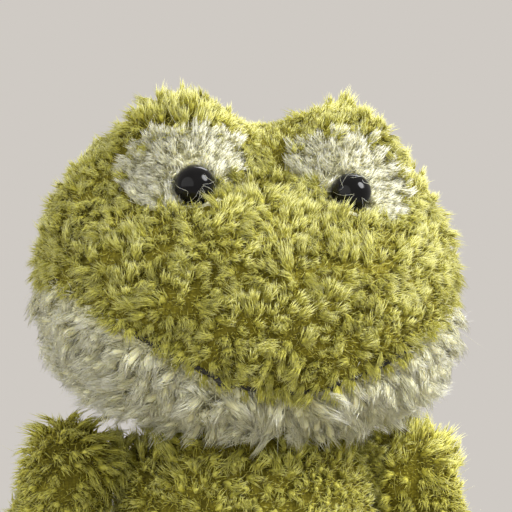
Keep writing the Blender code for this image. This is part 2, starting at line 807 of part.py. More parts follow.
def build_limb(side, kind, place, parent, limb, towards_torso, materials):
    """A limb's pile tube and its filling. limb is (stations, tip length, axis, across)."""
    stations, tip_length, axis, across = limb
    lining = add_cutter(f"{side}_{kind}_lining_cutter", limb_form(
        stations, tip_length, axis, across, LIMB_LINING_FACETS, PILE_WALL), place)
    mouth = add_cutter(f"{side}_{kind}_mouth_cutter", cylinder(
        stations[0][1] * SEAM_MOUTH_SHARE, stations[0][1] + CUT_OVERRUN, towards_torso), place)
    skin = add_piece(f"{side}_{kind}_skin", limb_form(
        stations, tip_length, axis, across, LIMB_FACETS), place, parent, materials["green_pile"])
    cut(skin, lining, mouth)
    add_piece(f"{side}_{kind}_stuffing", limb_form(
        stations, tip_length, axis, across, LIMB_LINING_FACETS, PILE_WALL + CLEARANCE),
        place, parent, materials["stuffing"])


FINGER_SPREAD = math.radians(48)
FINGER_REACH_SHARE = 0.46
TOE_SPREAD = math.radians(46)
TOE_REACH_SHARE = 0.46


def paw_lobes(width, thickness, length, digit, spread, reach_share, axis, across):
    """A flat oval pad with three digits fanned out at its far end."""
    facing = axis.cross(across)
    frame = Matrix((across, facing, axis)).transposed()
    pad = Vector((width, thickness, length)) / 2
    lobes = [(Vector((0, 0, 0)), pad, ROUND)]
    for step in (-1, 0, 1):
        angle = spread * step
        reach = Vector((pad.x * math.sin(angle), 0, pad.z * math.cos(angle))) * 2 * reach_share
        half = Vector((digit, min(thickness, digit), digit)) / 2
        lobes.append((reach, half, ROUND))
    return lobes, frame


def paw_form(lobes, frame, facets, inset=0):
    made = lobed_form(lobes, facets, inset)
    made.transform(frame.to_4x4())
    return made


def build_paw(side, kind, centre, parent, paw, cutters, materials):
    """A hand's or foot's pile skin and its filling, hollowed where the limb meets it."""
    lobes, frame = paw
    lining = add_cutter(f"{side}_{kind}_lining_cutter",
                        paw_form(lobes, frame, PAW_LINING_FACETS, PILE_WALL), centre)
    skin = add_piece(f"{side}_{kind}_skin", paw_form(lobes, frame, PAW_FACETS), centre, parent,
                     materials["green_pile"])
    cut(skin, lining, *cutters)
    filling = add_piece(f"{side}_{kind}_stuffing", paw_form(
        lobes, frame, PAW_LINING_FACETS, PILE_WALL + CLEARANCE), centre, parent,
        materials["stuffing"])
    cut(filling, *cutters)


WRIST_OVERLAP_SHARE = 0.55


def build_arm(side, sign, body, materials):
    place = shoulder_place(sign)
    swing = make_pivot(f"{side}_shoulder_swing_axis", place, body)
    spread = make_pivot(f"{side}_shoulder_spread_axis", place, swing)
    inward = Vector((-sign, 0, 0))
    add_piece(f"{side}_shoulder_seam", seam_ring(
        SHOULDER_RADIUS + CLEARANCE, inward, SHOULDER_SEAM_SHARES, CUTTER_FACETS), place, swing,
        materials["seam"])
    axis = arm_axis(sign)
    across = FORWARD.cross(axis).normalized()
    stations = tapered_stations(SHOULDER_RADIUS, WRIST_RADIUS, ARM_LENGTH, ARM_STATION_SHARES)
    limb = (stations, WRIST_RADIUS, axis, across)
    build_limb(side, "arm", place, spread, limb, inward, materials)
    wrist = place + axis * ARM_LENGTH
    wrist_room = add_cutter(f"{side}_wrist_cutter", round_room(WRIST_RADIUS + CLEARANCE), wrist)
    arm_room = add_cutter(f"{side}_forearm_cutter", cylinder(
        WRIST_RADIUS + CLEARANCE, ARM_LENGTH, -axis, CUTTER_FACETS), wrist)
    hand = wrist + axis * (WRIST_RADIUS * WRIST_OVERLAP_SHARE + HAND_LENGTH / 2)
    hand -= axis * HAND_LENGTH * (1 - WRIST_OVERLAP_SHARE) / 2
    paw = paw_lobes(HAND_WIDTH, HAND_THICKNESS, HAND_LENGTH, FINGER_DIAMETER, FINGER_SPREAD,
                    FINGER_REACH_SHARE, axis, axis.cross(across).normalized())
    build_paw(side, "hand", hand, spread, paw, [wrist_room, arm_room], materials)


FOOT_FORWARD_SHARE = 0.72


def build_leg(side, sign, body, materials):
    place = hip_place(sign)
    lift = make_pivot(f"{side}_hip_raise_axis", place, body)
    splay = make_pivot(f"{side}_hip_splay_axis", place, lift)
    axis = leg_axis(sign)
    add_piece(f"{side}_hip_seam", seam_ring(
        HIP_RADIUS + CLEARANCE, -axis, HIP_SEAM_SHARES, CUTTER_FACETS), place, lift,
        materials["seam"])
    across = UP.cross(axis).normalized()
    stations = tapered_stations(HIP_RADIUS, ANKLE_RADIUS, LEG_LENGTH, LEG_STATION_SHARES)
    limb = (stations, ANKLE_RADIUS, axis, across)
    build_limb(side, "leg", place, splay, limb, -axis, materials)
    ankle = ankle_place(sign)
    flop = make_pivot(f"{side}_ankle_axis", ankle, splay)
    outward = Vector((axis.x, axis.y, 0)).normalized()
    foot = ankle + outward * (ANKLE_RADIUS * FOOT_FORWARD_SHARE + FOOT_THICKNESS / 2)
    foot.z = FOOT_HEIGHT / 2 + CLEARANCE
    paw = paw_lobes(FOOT_WIDTH, FOOT_THICKNESS, FOOT_HEIGHT, TOE_DIAMETER, TOE_SPREAD,
                    TOE_REACH_SHARE, UP, outward.cross(UP))
    ankle_room = add_cutter(f"{side}_ankle_cutter", round_room(ANKLE_RADIUS + CLEARANCE), ankle)
    build_paw(side, "foot", foot, flop, paw, [ankle_room], materials)


def build_materials():
    return {
        "green_pile": make_material("green_pile", GREEN_PILE, 0.95),
        "cream_pile": make_material("cream_pile", CREAM_PILE, 0.95),
        "bead": make_material("black_bead", BLACK_BEAD, 0.08),
        "washer": make_material("washer_plastic", WASHER_WHITE, 0.45),
        "stuffing": make_material("fibre_stuffing", STUFFING_WHITE, 1.0),
        "pellet_bag": make_material("pellet_bag_cloth", PELLET_BAG_GREY, 0.9),
        "seam": make_material("seam_thread", SEAM_GREEN, 0.9),
        "mouth_thread": make_material("mouth_thread", MOUTH_GREY, 0.85),
        "label": make_material("label_cloth", LABEL_WHITE, 0.8),
    }


def main():
    clear_scene()
    materials = build_materials()
    body = build_torso(materials)
    build_head(body, materials)
    for side, sign in SIDES.items():
        build_arm(side, sign, body, materials)
        build_leg(side, sign, body, materials)


if __name__ == "__main__":
    main()
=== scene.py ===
"""The looks of a seated plush frog: pile cloth, beads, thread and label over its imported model.

Each operator dresses one group of pieces, and a panel in the 3D view's sidebar lists them.
Lengths are metres, +Z is up, the frog faces -Y and its left is +X.
"""

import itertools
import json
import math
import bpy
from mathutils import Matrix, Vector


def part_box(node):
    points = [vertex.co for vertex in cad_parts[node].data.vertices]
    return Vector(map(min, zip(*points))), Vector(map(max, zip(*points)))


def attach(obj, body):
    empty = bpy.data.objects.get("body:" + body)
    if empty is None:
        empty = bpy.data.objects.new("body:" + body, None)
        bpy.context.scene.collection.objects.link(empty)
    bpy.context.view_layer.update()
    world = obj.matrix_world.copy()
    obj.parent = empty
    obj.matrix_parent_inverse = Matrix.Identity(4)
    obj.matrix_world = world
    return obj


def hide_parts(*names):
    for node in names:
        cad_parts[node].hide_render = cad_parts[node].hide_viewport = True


bl_info = {
    "name": "Plush frog",
    "version": (1, 0, 0),
    "blender": (4, 5, 0),
    "location": "View3D > Sidebar > Plush frog",
    "description": "Dresses the packed frog in pile cloth, with beads, thread and a label",
    "category": "Object",
}

import bmesh
import bpy
import numpy as np
from mathutils import Matrix, Vector, noise
from mathutils.bvhtree import BVHTree

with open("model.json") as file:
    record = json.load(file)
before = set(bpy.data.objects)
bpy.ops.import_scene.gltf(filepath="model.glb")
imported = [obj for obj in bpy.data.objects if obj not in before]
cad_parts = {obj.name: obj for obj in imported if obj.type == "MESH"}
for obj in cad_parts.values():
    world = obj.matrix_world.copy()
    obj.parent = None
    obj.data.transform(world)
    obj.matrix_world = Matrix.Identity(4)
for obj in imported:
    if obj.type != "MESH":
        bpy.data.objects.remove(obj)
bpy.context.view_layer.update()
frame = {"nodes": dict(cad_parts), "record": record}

MM = 0.001
SIDES = {"right": -1, "left": 1}
UV_MAP = "OFBake"
FLOOR_CLEARANCE = 0.25 * MM

# The CAD nodes that each stuffed form is made of, and the bodies that it must keep clear of
FORMS = {
    "head": {
        "body": "head",
        "nodes": ["crown_panel", "jaw_panel", "left_eye_patch", "right_eye_patch",
                  "head_stuffing", "left_eye_washer", "right_eye_washer"],
        "near": ["torso"],
    },
    "torso": {
        "body": "torso",
        "nodes": ["torso_front_panel", "torso_back_panel", "seat_panel", "torso_stuffing",
                  "pellet_bag"],
        "near": ["head", "left_arm", "right_arm", "left_leg", "right_leg"],
    },
}
for side in SIDES:
    FORMS[f"{side}_arm"] = {
        "body": f"{side}_arm",
        "nodes": [f"{side}_arm_skin", f"{side}_arm_stuffing", f"{side}_hand_skin",
                  f"{side}_hand_stuffing"],
        "near": ["torso"],
    }
    FORMS[f"{side}_leg"] = {
        "body": f"{side}_leg",
        "nodes": [f"{side}_leg_skin", f"{side}_leg_stuffing"],
        "near": ["torso", f"{side}_foot"],
    }
    FORMS[f"{side}_foot"] = {
        "body": f"{side}_foot",
        "nodes": [f"{side}_foot_skin", f"{side}_foot_stuffing"],
        "near": [f"{side}_leg"],
    }


def linear(hex_colour):
    """An sRGB hex colour as linear RGBA."""
    channels = [int(hex_colour[i:i + 2], 16) / 255 for i in (1, 3, 5)]
    made = [c / 12.92 if c <= 0.04045 else ((c + 0.055) / 1.055) ** 2.4 for c in channels]
    return (*made, 1.0)


class FrogSizes(bpy.types.PropertyGroup):
    """The sizes of pile and beads that a user would change"""
    pile_depth: bpy.props.FloatProperty(
        name="Pile depth", description="How far the backing lies under the tips of the pile",
        default=3.2 * MM, unit="LENGTH")
    tuft_length: bpy.props.FloatProperty(
        name="Tuft length", description="Length of a green tuft along its curl",
        default=6.8 * MM, unit="LENGTH")
    tuft_spacing: bpy.props.FloatProperty(
        name="Tuft spacing", description="Least distance between green tufts on the head",
        default=2.35 * MM, unit="LENGTH")
    body_spacing: bpy.props.FloatProperty(
        name="Body tuft spacing", description="Least distance between tufts below the head",
        default=2.75 * MM, unit="LENGTH")
    lock_length: bpy.props.FloatProperty(
        name="Lock length", description="Length of a pale lock on the jaw",
        default=11.5 * MM, unit="LENGTH")
    lock_spacing: bpy.props.FloatProperty(
        name="Lock spacing", description="Least distance between pale locks",
        default=2.7 * MM, unit="LENGTH")
    bead_diameter: bpy.props.FloatProperty(
        name="Bead diameter", description="Diameter of a safety eye",
        default=12.0 * MM, unit="LENGTH")


class FrogColours(bpy.types.PropertyGroup):
    """The colours of the pile from its tips to its backing; the paler tips are painted light, and
    the darker green roots are painted shade
    """
    # painted light: the green tips are paler than the middle
    green_lit_tip: bpy.props.FloatVectorProperty(
        name="Green tips", description="Colour of the green pile at its tips", size=4,
        default=linear("#D8D46E"), subtype="COLOR")
    green_middle: bpy.props.FloatVectorProperty(
        name="Green middle", description="Colour of the green pile half way down", size=4,
        default=linear("#C3BD4E"), subtype="COLOR")
    # painted shade: the green roots darken towards the backing
    green_root_shade: bpy.props.FloatVectorProperty(
        name="Green roots", description="Colour of the green pile at its backing", size=4,
        default=linear("#988F26"), subtype="COLOR")
    # painted light: the cream tips are paler than the middle
    cream_lit_tip: bpy.props.FloatVectorProperty(
        name="Cream tips", description="Colour of the pale pile at its tips", size=4,
        default=linear("#F8F5D3"), subtype="COLOR")
    cream_middle: bpy.props.FloatVectorProperty(
        name="Cream middle", description="Colour of the pale pile half way down", size=4,
        default=linear("#EDE9BF"), subtype="COLOR")
    cream_root: bpy.props.FloatVectorProperty(
        name="Cream roots", description="Colour of the pale pile at its backing", size=4,
        default=linear("#EDE8BE"), subtype="COLOR")


# Materials


def new_material(name):
    """A new material with its node tree and its shader."""
    material = bpy.data.materials.new(name)
    material.use_nodes = True
    return material, material.node_tree, material.node_tree.nodes["Principled BSDF"]


def set_sockets(tree, node, values=(), links=()):
    """Give a node its unlinked socket values and its incoming links."""
    for socket, value in dict(values).items():
        node.inputs[socket].default_value = value
    for socket, source in dict(links).items():
        tree.links.new(source, node.inputs[socket])


def add_node(tree, kind, settings=(), values=(), links=()):
    """Add a node with its settings, its unlinked socket values and its incoming links."""
    added = tree.nodes.new(kind)
    for name, value in dict(settings).items():
        setattr(added, name, value)
    set_sockets(tree, added, values, links)
    return added


# The pile's map runs from 0 at the root to 1 at the tip: where one colour fades into the next,
# from the painted shade of the roots to the painted light of the tips
ROOT_FADE = (0.0, 0.55)
TIP_FADE = (0.45, 1.0)
# Streaks for each turn of the map across the tones and along the fibres, as coarse as they show
STREAKS = (160.0, 5.0, 1.0)
MIDDLE_TONE = 0.96
SOFT_DEPTH = 0.8 * MM


def pile_material(name, root, middle, tip, streak_strength, tone_spread, soft_share):
    """Polyester pile fibre, knitted into a backing and tumbled till it curls.

    The map runs across the tones of the tufts in U, and from root to tip in V. The root colour
    paints the shade deep in the pile, and the paler tip colour paints the light that passes
    through the tips. Fine streaks run along the fibres, and all of these give the eye its depth.
    """
    material, tree, shader = new_material(name)
    uv = add_node(tree, "ShaderNodeUVMap", {"uv_map": UV_MAP})
    split = add_node(tree, "ShaderNodeSeparateXYZ", links={0: uv.outputs[0]})
    low, high = [add_node(tree, "ShaderNodeMapRange", {"interpolation_type": "SMOOTHSTEP"},
                          {"From Min": start, "From Max": end}, {"Value": split.outputs[1]})
                 for start, end in (ROOT_FADE, TIP_FADE)]
    # painted shade at the roots and painted light at the tips, mixed in along the map's V
    lower = add_node(tree, "ShaderNodeMix", {"data_type": "RGBA"}, {6: root, 7: middle},
                     {0: low.outputs[0]})
    upper = add_node(tree, "ShaderNodeMix", {"data_type": "RGBA"}, {7: tip},
                     {0: high.outputs[0], 6: lower.outputs[2]})
    stretch = add_node(tree, "ShaderNodeMapping", values={"Scale": STREAKS},
                       links={0: uv.outputs[0]})
    streaks = add_node(tree, "ShaderNodeTexNoise", {"noise_dimensions": "2D"},
                       {"Scale": 1.0, "Detail": 3.0, "Roughness": 0.6},
                       {"Vector": stretch.outputs[0]})
    streak = add_node(tree, "ShaderNodeMapRange", values={
        "From Min": 0.25, "From Max": 0.75, "To Min": 1 - streak_strength,
        "To Max": 1 + streak_strength}, links={"Value": streaks.outputs[0]})
    tone = add_node(tree, "ShaderNodeMapRange", values={
        "To Min": MIDDLE_TONE - tone_spread, "To Max": MIDDLE_TONE + tone_spread},
        links={"Value": split.outputs[0]})
    level = add_node(tree, "ShaderNodeMath", {"operation": "MULTIPLY"},
                     links={0: tone.outputs[0], 1: streak.outputs[0]})
    shaded = add_node(tree, "ShaderNodeVectorMath", {"operation": "SCALE"},
                      links={0: upper.outputs[2], "Scale": level.outputs[0]})
    rough = add_node(tree, "ShaderNodeMapRange", values={"To Min": 0.72, "To Max": 0.92},
                     links={"Value": streaks.outputs[0]})
    set_sockets(tree, shader, {
        "Specular IOR Level": 0.12, "Subsurface Weight": soft_share,
        "Subsurface Radius": (1.0, 0.9, 0.5), "Subsurface Scale": SOFT_DEPTH,
        "Sheen Weight": 0.08, "Sheen Roughness": 0.5},
        {"Base Color": shaded.outputs[0], "Roughness": rough.outputs[0]})
    return material


BACKING_LOOP = 0.9 * MM
BACKING_PATCH = 9 * MM


def backing_material(name, colour):
    """Knitted polyester backing seen between the tufts: rows of small loops, dull, in a dark
    colour that is painted shade deep in the pile.
    """
    material, tree, shader = new_material(name)
    place = add_node(tree, "ShaderNodeTexCoord")
    loops = add_node(tree, "ShaderNodeTexVoronoi", {"feature": "F1"},
                     {"Scale": 1 / BACKING_LOOP, "Randomness": 0.55},
                     {"Vector": place.outputs["Object"]})
    patches = add_node(tree, "ShaderNodeTexNoise",
                       values={"Scale": 1 / BACKING_PATCH, "Detail": 2.0},
                       links={"Vector": place.outputs["Object"]})
    shade = add_node(tree, "ShaderNodeMapRange", values={
        "From Max": 0.7, "To Min": 1.1, "To Max": 0.55}, links={"Value": loops.outputs[0]})
    level = add_node(tree, "ShaderNodeMath", {"operation": "MULTIPLY"},
                     links={0: shade.outputs[0], 1: patches.outputs[0]})
    # the patches' noise is a half on average, so the level is doubled
    lifted = add_node(tree, "ShaderNodeMath", {"operation": "MULTIPLY"}, {1: 2.0},
                      {0: level.outputs[0]})
    shaded = add_node(tree, "ShaderNodeVectorMath", {"operation": "SCALE"}, {0: colour[:3]},
                      {"Scale": lifted.outputs[0]})
    bump = add_node(tree, "ShaderNodeBump", values={"Strength": 0.6, "Distance": 0.3 * MM},
                    links={"Height": shade.outputs[0]})
    set_sockets(tree, shader, {"Roughness": 0.95, "Specular IOR Level": 0.2},
                {"Base Color": shaded.outputs[0], "Normal": bump.outputs[0]})
    return material


def bead_material():
    """Moulded black ABS, polished: a clear dark gloss with faint handling marks."""
    material, tree, shader = new_material("polished_black_abs")
    place = add_node(tree, "ShaderNodeTexCoord")
    marks = add_node(tree, "ShaderNodeTexNoise", values={"Scale": 1 / (2.5 * MM), "Detail": 4.0},
                     links={"Vector": place.outputs["Object"]})
    rough = add_node(tree, "ShaderNodeMapRange", values={
        "From Min": 0.4, "From Max": 0.75, "To Min": 0.07, "To Max": 0.2},
        links={"Value": marks.outputs[0]})
    tint = add_node(tree, "ShaderNodeMix", {"data_type": "RGBA"},
                    {6: linear("#050506"), 7: linear("#0E0D0E")}, {0: marks.outputs[0]})
    set_sockets(tree, shader, {"IOR": 1.53, "Specular IOR Level": 0.2},
                {"Base Color": tint.outputs[2], "Roughness": rough.outputs[0]})
    return material


def wave_scale(spacing):
    """The scale at which a wave texture repeats once per spacing."""
    return 2 * math.pi / 20 / spacing


def thread_material(name, colour, pitch):
    """Twisted polyester thread: fine diagonal plies with a low sheen."""
    material, tree, shader = new_material(name)
    place = add_node(tree, "ShaderNodeTexCoord")
    turn = add_node(tree, "ShaderNodeMapping", values={"Rotation": (0.4, 0.6, 0.8)},
                    links={0: place.outputs["Object"]})
    plies = add_node(tree, "ShaderNodeTexWave", {"bands_direction": "DIAGONAL"},
                     {"Scale": wave_scale(pitch), "Distortion": 1.5, "Detail": 2.0},
                     {"Vector": turn.outputs[0]})
    shade = add_node(tree, "ShaderNodeMapRange", values={"To Min": 0.7, "To Max": 1.3},
                     links={"Value": plies.outputs[1]})
    shaded = add_node(tree, "ShaderNodeVectorMath", {"operation": "SCALE"}, {0: colour[:3]},
                      {"Scale": shade.outputs[0]})
    bump = add_node(tree, "ShaderNodeBump", values={"Strength": 0.5, "Distance": 0.1 * MM},
                    links={"Height": plies.outputs[1]})
    set_sockets(tree, shader, {"Roughness": 0.7},
                {"Base Color": shaded.outputs[0], "Normal": bump.outputs[0]})
    return material


def woven_material(name, colour, thread_spacing, depth):
    """Plain woven polyester or cotton: threads over and under at a fixed spacing, with slubs."""
    material, tree, shader = new_material(name)
    place = add_node(tree, "ShaderNodeTexCoord")
    warp, weft = [add_node(tree, "ShaderNodeTexWave", {"bands_direction": direction},
                           {"Scale": wave_scale(thread_spacing), "Distortion": 0.4},
                           {"Vector": place.outputs["Object"]})
                  for direction in ("X", "Z")]
    weave = add_node(tree, "ShaderNodeMath", {"operation": "MAXIMUM"},
                     links={0: warp.outputs[1], 1: weft.outputs[1]})
    slubs = add_node(tree, "ShaderNodeTexNoise", values={"Scale": 1 / (3 * MM)},
                     links={"Vector": place.outputs["Object"]})
    shade = add_node(tree, "ShaderNodeMapRange", values={"To Min": 0.86, "To Max": 1.03},
                     links={"Value": weave.outputs[0]})
    uneven = add_node(tree, "ShaderNodeMapRange", values={"To Min": 0.9, "To Max": 1.06},
                      links={"Value": slubs.outputs[0]})
    level = add_node(tree, "ShaderNodeMath", {"operation": "MULTIPLY"},
                     links={0: shade.outputs[0], 1: uneven.outputs[0]})
    shaded = add_node(tree, "ShaderNodeVectorMath", {"operation": "SCALE"}, {0: colour[:3]},
                      {"Scale": level.outputs[0]})
    bump = add_node(tree, "ShaderNodeBump", values={"Strength": 0.5, "Distance": depth},
                    links={"Height": weave.outputs[0]})
    set_sockets(tree, shader, {"Roughness": 0.85},
                {"Base Color": shaded.outputs[0], "Normal": bump.outputs[0]})
    return material


def fibre_material():
    """Carded polyester fibre fill: matted white fluff with soft hollows, painted greyer where the
    bump sinks as shade in the hollows.
    """
    material, tree, shader = new_material("carded_fibre_fill")
    place = add_node(tree, "ShaderNodeTexCoord")
    lumps_and_shade = add_node(tree, "ShaderNodeTexNoise", values={
        "Scale": 1 / (4 * MM), "Detail": 6.0, "Roughness": 0.7, "Distortion": 1.2},
        links={"Vector": place.outputs["Object"]})
    # painted shade: the noise that sinks the bump also greys the hollows
    tint = add_node(tree, "ShaderNodeMix", {"data_type": "RGBA"},
                    {6: linear("#C9C8C2"), 7: linear("#F4F4F0")}, {0: lumps_and_shade.outputs[0]})
    bump = add_node(tree, "ShaderNodeBump", values={"Strength": 0.8, "Distance": 0.8 * MM},
                    links={"Height": lumps_and_shade.outputs[0]})
    set_sockets(tree, shader, {"Roughness": 1.0},
                {"Base Color": tint.outputs[2], "Normal": bump.outputs[0]})
    return material


def washer_material():
    """Moulded white polypropylene: waxy, with a fine sparked grain."""
    material, tree, shader = new_material("moulded_polypropylene")
    place = add_node(tree, "ShaderNodeTexCoord")
    grain = add_node(tree, "ShaderNodeTexNoise", values={"Scale": 1 / (0.4 * MM), "Detail": 2.0},
                     links={"Vector": place.outputs["Object"]})
    tint = add_node(tree, "ShaderNodeMix", {"data_type": "RGBA"},
                    {6: linear("#D9D9D5"), 7: linear("#EDEDEA")}, {0: grain.outputs[0]})
    bump = add_node(tree, "ShaderNodeBump", values={"Strength": 0.2, "Distance": 0.05 * MM},
                    links={"Height": grain.outputs[0]})
    set_sockets(tree, shader, {"Roughness": 0.45, "IOR": 1.49},
                {"Base Color": tint.outputs[2], "Normal": bump.outputs[0]})
    return material


MATERIALS = {}


def materials():
    """The finishes, made once and shared by the operators."""
    if not MATERIALS:
        colours = bpy.context.scene.frog_colours
        MATERIALS.update(
            green=pile_material(
                "tumbled_green_polyester_pile", colours.green_root_shade, colours.green_middle,
                colours.green_lit_tip, streak_strength=0.14, tone_spread=0.18, soft_share=0.4),
            cream=pile_material(
                "combed_cream_polyester_pile", colours.cream_root, colours.cream_middle,
                colours.cream_lit_tip, streak_strength=0.08, tone_spread=0.11, soft_share=0.6),
            # the backings are darker than their pile: painted shade deep between the tufts and in
            # the creases
            green_backing=backing_material("knitted_green_backing", linear("#827A26")),
            cream_backing=backing_material("knitted_cream_backing", linear("#D2CFA6")),
            bead=bead_material(),
            mouth=thread_material("twisted_grey_thread", linear("#2F2D26"), 0.5 * MM),
            seam=thread_material("twisted_green_thread", linear("#6B6421"), 0.4 * MM),
            label=woven_material("woven_satin_label", linear("#ECECE6"), 0.35 * MM, 0.05 * MM),
            bag=woven_material("woven_cotton_pellet_bag", linear("#B5B5B0"), 0.6 * MM,
                               0.1 * MM),
            fibre=fibre_material(),
            washer=washer_material())
    return MATERIALS


# Cloth forms


def deselect_all():
    """Leave nothing selected."""
    for chosen in list(bpy.context.selected_objects):
        chosen.select_set(False)


def select_only(item):
    """Make an object the only one selected, and the active one."""
    deselect_all()
    bpy.context.view_layer.objects.active = item
    item.select_set(True)


def apply_modifier(item, kind, **settings):
    """Add a modifier with its settings and apply it at once."""
    modifier = item.modifiers.new(kind.lower(), kind)
    for name, value in settings.items():
        setattr(modifier, name, value)
    select_only(item)
    bpy.ops.object.modifier_apply(modifier=modifier.name)
    item.select_set(False)


def give_material(item, material):
    """Make a material the only one of an object."""
    item.data.materials.clear()
    item.data.materials.append(material)


def joined_copy(name, nodes):
    """One object with merged copies of several CAD nodes' meshes."""
    made = bmesh.new()
    for node in nodes:
        made.from_mesh(frame["nodes"][node].data)
    bmesh.ops.remove_doubles(made, verts=made.verts, dist=0.01 * MM)
    mesh = bpy.data.meshes.new(name)
    made.to_mesh(mesh)
    made.free()
    item = bpy.data.objects.new(name, mesh)
    bpy.context.scene.collection.objects.link(item)
    return item


def keep_largest_shell(item):
    """Delete the small closed bubbles that a remesh leaves inside a form."""
    made = bmesh.new()
    made.from_mesh(item.data)
    made.verts.ensure_lookup_table()
    left = set(range(len(made.verts)))
    shells = []
    while left:
        stack = [left.pop()]
        shell = []
        while stack:
            index = stack.pop()
            shell.append(index)
            for edge in made.verts[index].link_edges:
                other = edge.other_vert(made.verts[index]).index
                if other in left:
                    left.discard(other)
                    stack.append(other)
        shells.append(shell)
    shells.sort(key=len)
    small = [made.verts[i] for shell in shells[:-1] for i in shell]
    bmesh.ops.delete(made, geom=small, context="VERTS")
    made.to_mesh(item.data)
    made.free()


def vertex_arrays(mesh):
    """The places and the outward normals of a mesh's vertices."""
    count = len(mesh.vertices)
    places = np.zeros(count * 3)
    normals = np.zeros(count * 3)
    mesh.vertices.foreach_get("co", places)
    mesh.vertex_normals.foreach_get("vector", normals)
    return places.reshape(-1, 3), normals.reshape(-1, 3)


def set_places(mesh, places):
    """Move a mesh's vertices to new places."""
    mesh.vertices.foreach_set("co", places.astype(np.float32).ravel())
    mesh.update()


def surface_tree(nodes):
    """A search tree over several CAD nodes' faces."""
    made = bmesh.new()
    for node in nodes:
        made.from_mesh(frame["nodes"][node].data)
    tree = BVHTree.FromBMesh(made)
    made.free()
    return tree


def middle_of(node):
    """The middle of a CAD node's box."""
    low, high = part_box(node)
    return (low + high) / 2


def distances(places, tree):
    """How far each place lies from a search tree's faces."""
    return np.array([tree.find_nearest(Vector(place))[3] for place in places])


def noise_at(places, size, shift=(0, 0, 0)):
    """Smooth noise from -1 to 1 at each place, with lumps of a given size."""
    shift = Vector(shift)
    return np.array([noise.noise(Vector(place) / size + shift) for place in places])


def smooth_step(values, low, high):
    """A share that eases from 0 at the low value to 1 at the high one."""
    share = np.clip((values - low) / (high - low), 0, 1)
    return share * share * (3 - 2 * share)


def unit(vectors):
    """The vectors at length 1."""
    return vectors / np.maximum(np.linalg.norm(vectors, axis=-1, keepdims=True), 1e-12)


VOXEL = 2.0 * MM
# Between these distances from the next body, the cloth eases from its CAD place to its inset
SOCKET_GAP = 3.0 * MM
SOCKET_EDGE = 13.0 * MM
# The stuffing's lumps as they show through the cloth
LUMP_SIZE = 3.6 * MM
LUMP_HEIGHT = 1.3 * MM


def backing_cloth(name, form, depth, share_of_depth=None):
    """The stuffed cloth form under the pile: the CAD pieces made one skin and drawn in."""
    item = joined_copy(name, form["nodes"])
    apply_modifier(item, "REMESH", mode="VOXEL", voxel_size=VOXEL)
    keep_largest_shell(item)
    apply_modifier(item, "SMOOTH", factor=0.6, iterations=8)
    places, normals = vertex_arrays(item.data)
    bodies = frame["record"]["behaviour"]["bodies"]
    near = surface_tree([node for body in form["near"] for node in bodies[body]])
    open_share = smooth_step(distances(places, near), SOCKET_GAP, SOCKET_EDGE)
    share = share_of_depth(places) if share_of_depth else 1.0
    inset = (depth * share - LUMP_HEIGHT * noise_at(places, LUMP_SIZE)) * open_share
    set_places(item.data, places - normals * inset[:, None])
    apply_modifier(item, "SMOOTH", factor=0.5, iterations=2)
    item.data.shade_smooth()
    return item, near


def ride_cloth(item, body, nodes, material):
    """Hand a stuffed cloth form to its body, in place of the CAD nodes that it covers."""
    give_material(item, material)
    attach(item, body)
    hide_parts(*nodes)


# Pile

TRIES_PER_POINT = 5
NEXT_CELLS = list(itertools.product((-1, 0, 1), repeat=3))


def scatter(mesh, spacing, seed, wanted=None):
    """Points spread evenly over a mesh at a least spacing, with their normals."""
    draw = np.random.default_rng(seed)
    mesh.calc_loop_triangles()
    count = len(mesh.loop_triangles)
    corners = np.zeros(count * 3, np.int64)
    mesh.loop_triangles.foreach_get("vertices", corners)
    corners = corners.reshape(-1, 3)
    places, normals = vertex_arrays(mesh)
    a, b, c = (places[corners[:, i]] for i in range(3))
    areas = np.linalg.norm(np.cross(b - a, c - a), axis=1) / 2
    tries = int(areas.sum() / spacing ** 2 * TRIES_PER_POINT)
    chosen = draw.choice(count, tries, p=areas / areas.sum())
    u = np.sqrt(draw.random(tries))[:, None]
    v = draw.random(tries)[:, None]
    weights = (1 - u, u * (1 - v), u * v)
    points = sum(w * corner[chosen] for w, corner in zip(weights, (a, b, c)))
    directions = sum(w * normals[corners[chosen, i]] for i, w in enumerate(weights))
    directions /= np.linalg.norm(directions, axis=1)[:, None]
    if wanted is not None:
        kept = wanted(points)
        points, directions = points[kept], directions[kept]
    cells = {}

    def crowded(point, cell):
        """Whether an accepted point in this cell or the next ones lies too near."""
        for x, y, z in NEXT_CELLS:
            for other in cells.get((cell[0] + x, cell[1] + y, cell[2] + z), ()):
                gap = point - points[other]
                if gap @ gap < spacing * spacing:
                    return True
        return False

    accepted = []
    for index, point in enumerate(points):
        cell = tuple((point // spacing).astype(int))
        if not crowded(point, cell):
            cells.setdefault(cell, []).append(index)
            accepted.append(index)
    return points[accepted], directions[accepted]


def tube_triangles(rings, sides):
    """The triangles of one closed tapering tube: its walls, its point and its root cap."""
    return 2 * sides * (rings - 1) + sides + sides - 2


# Turns a tube's first direction into one that isn't parallel to it
OFF_AXIS = 0.123
# The map stays this far inside its edges
MAP_EDGE = 0.001


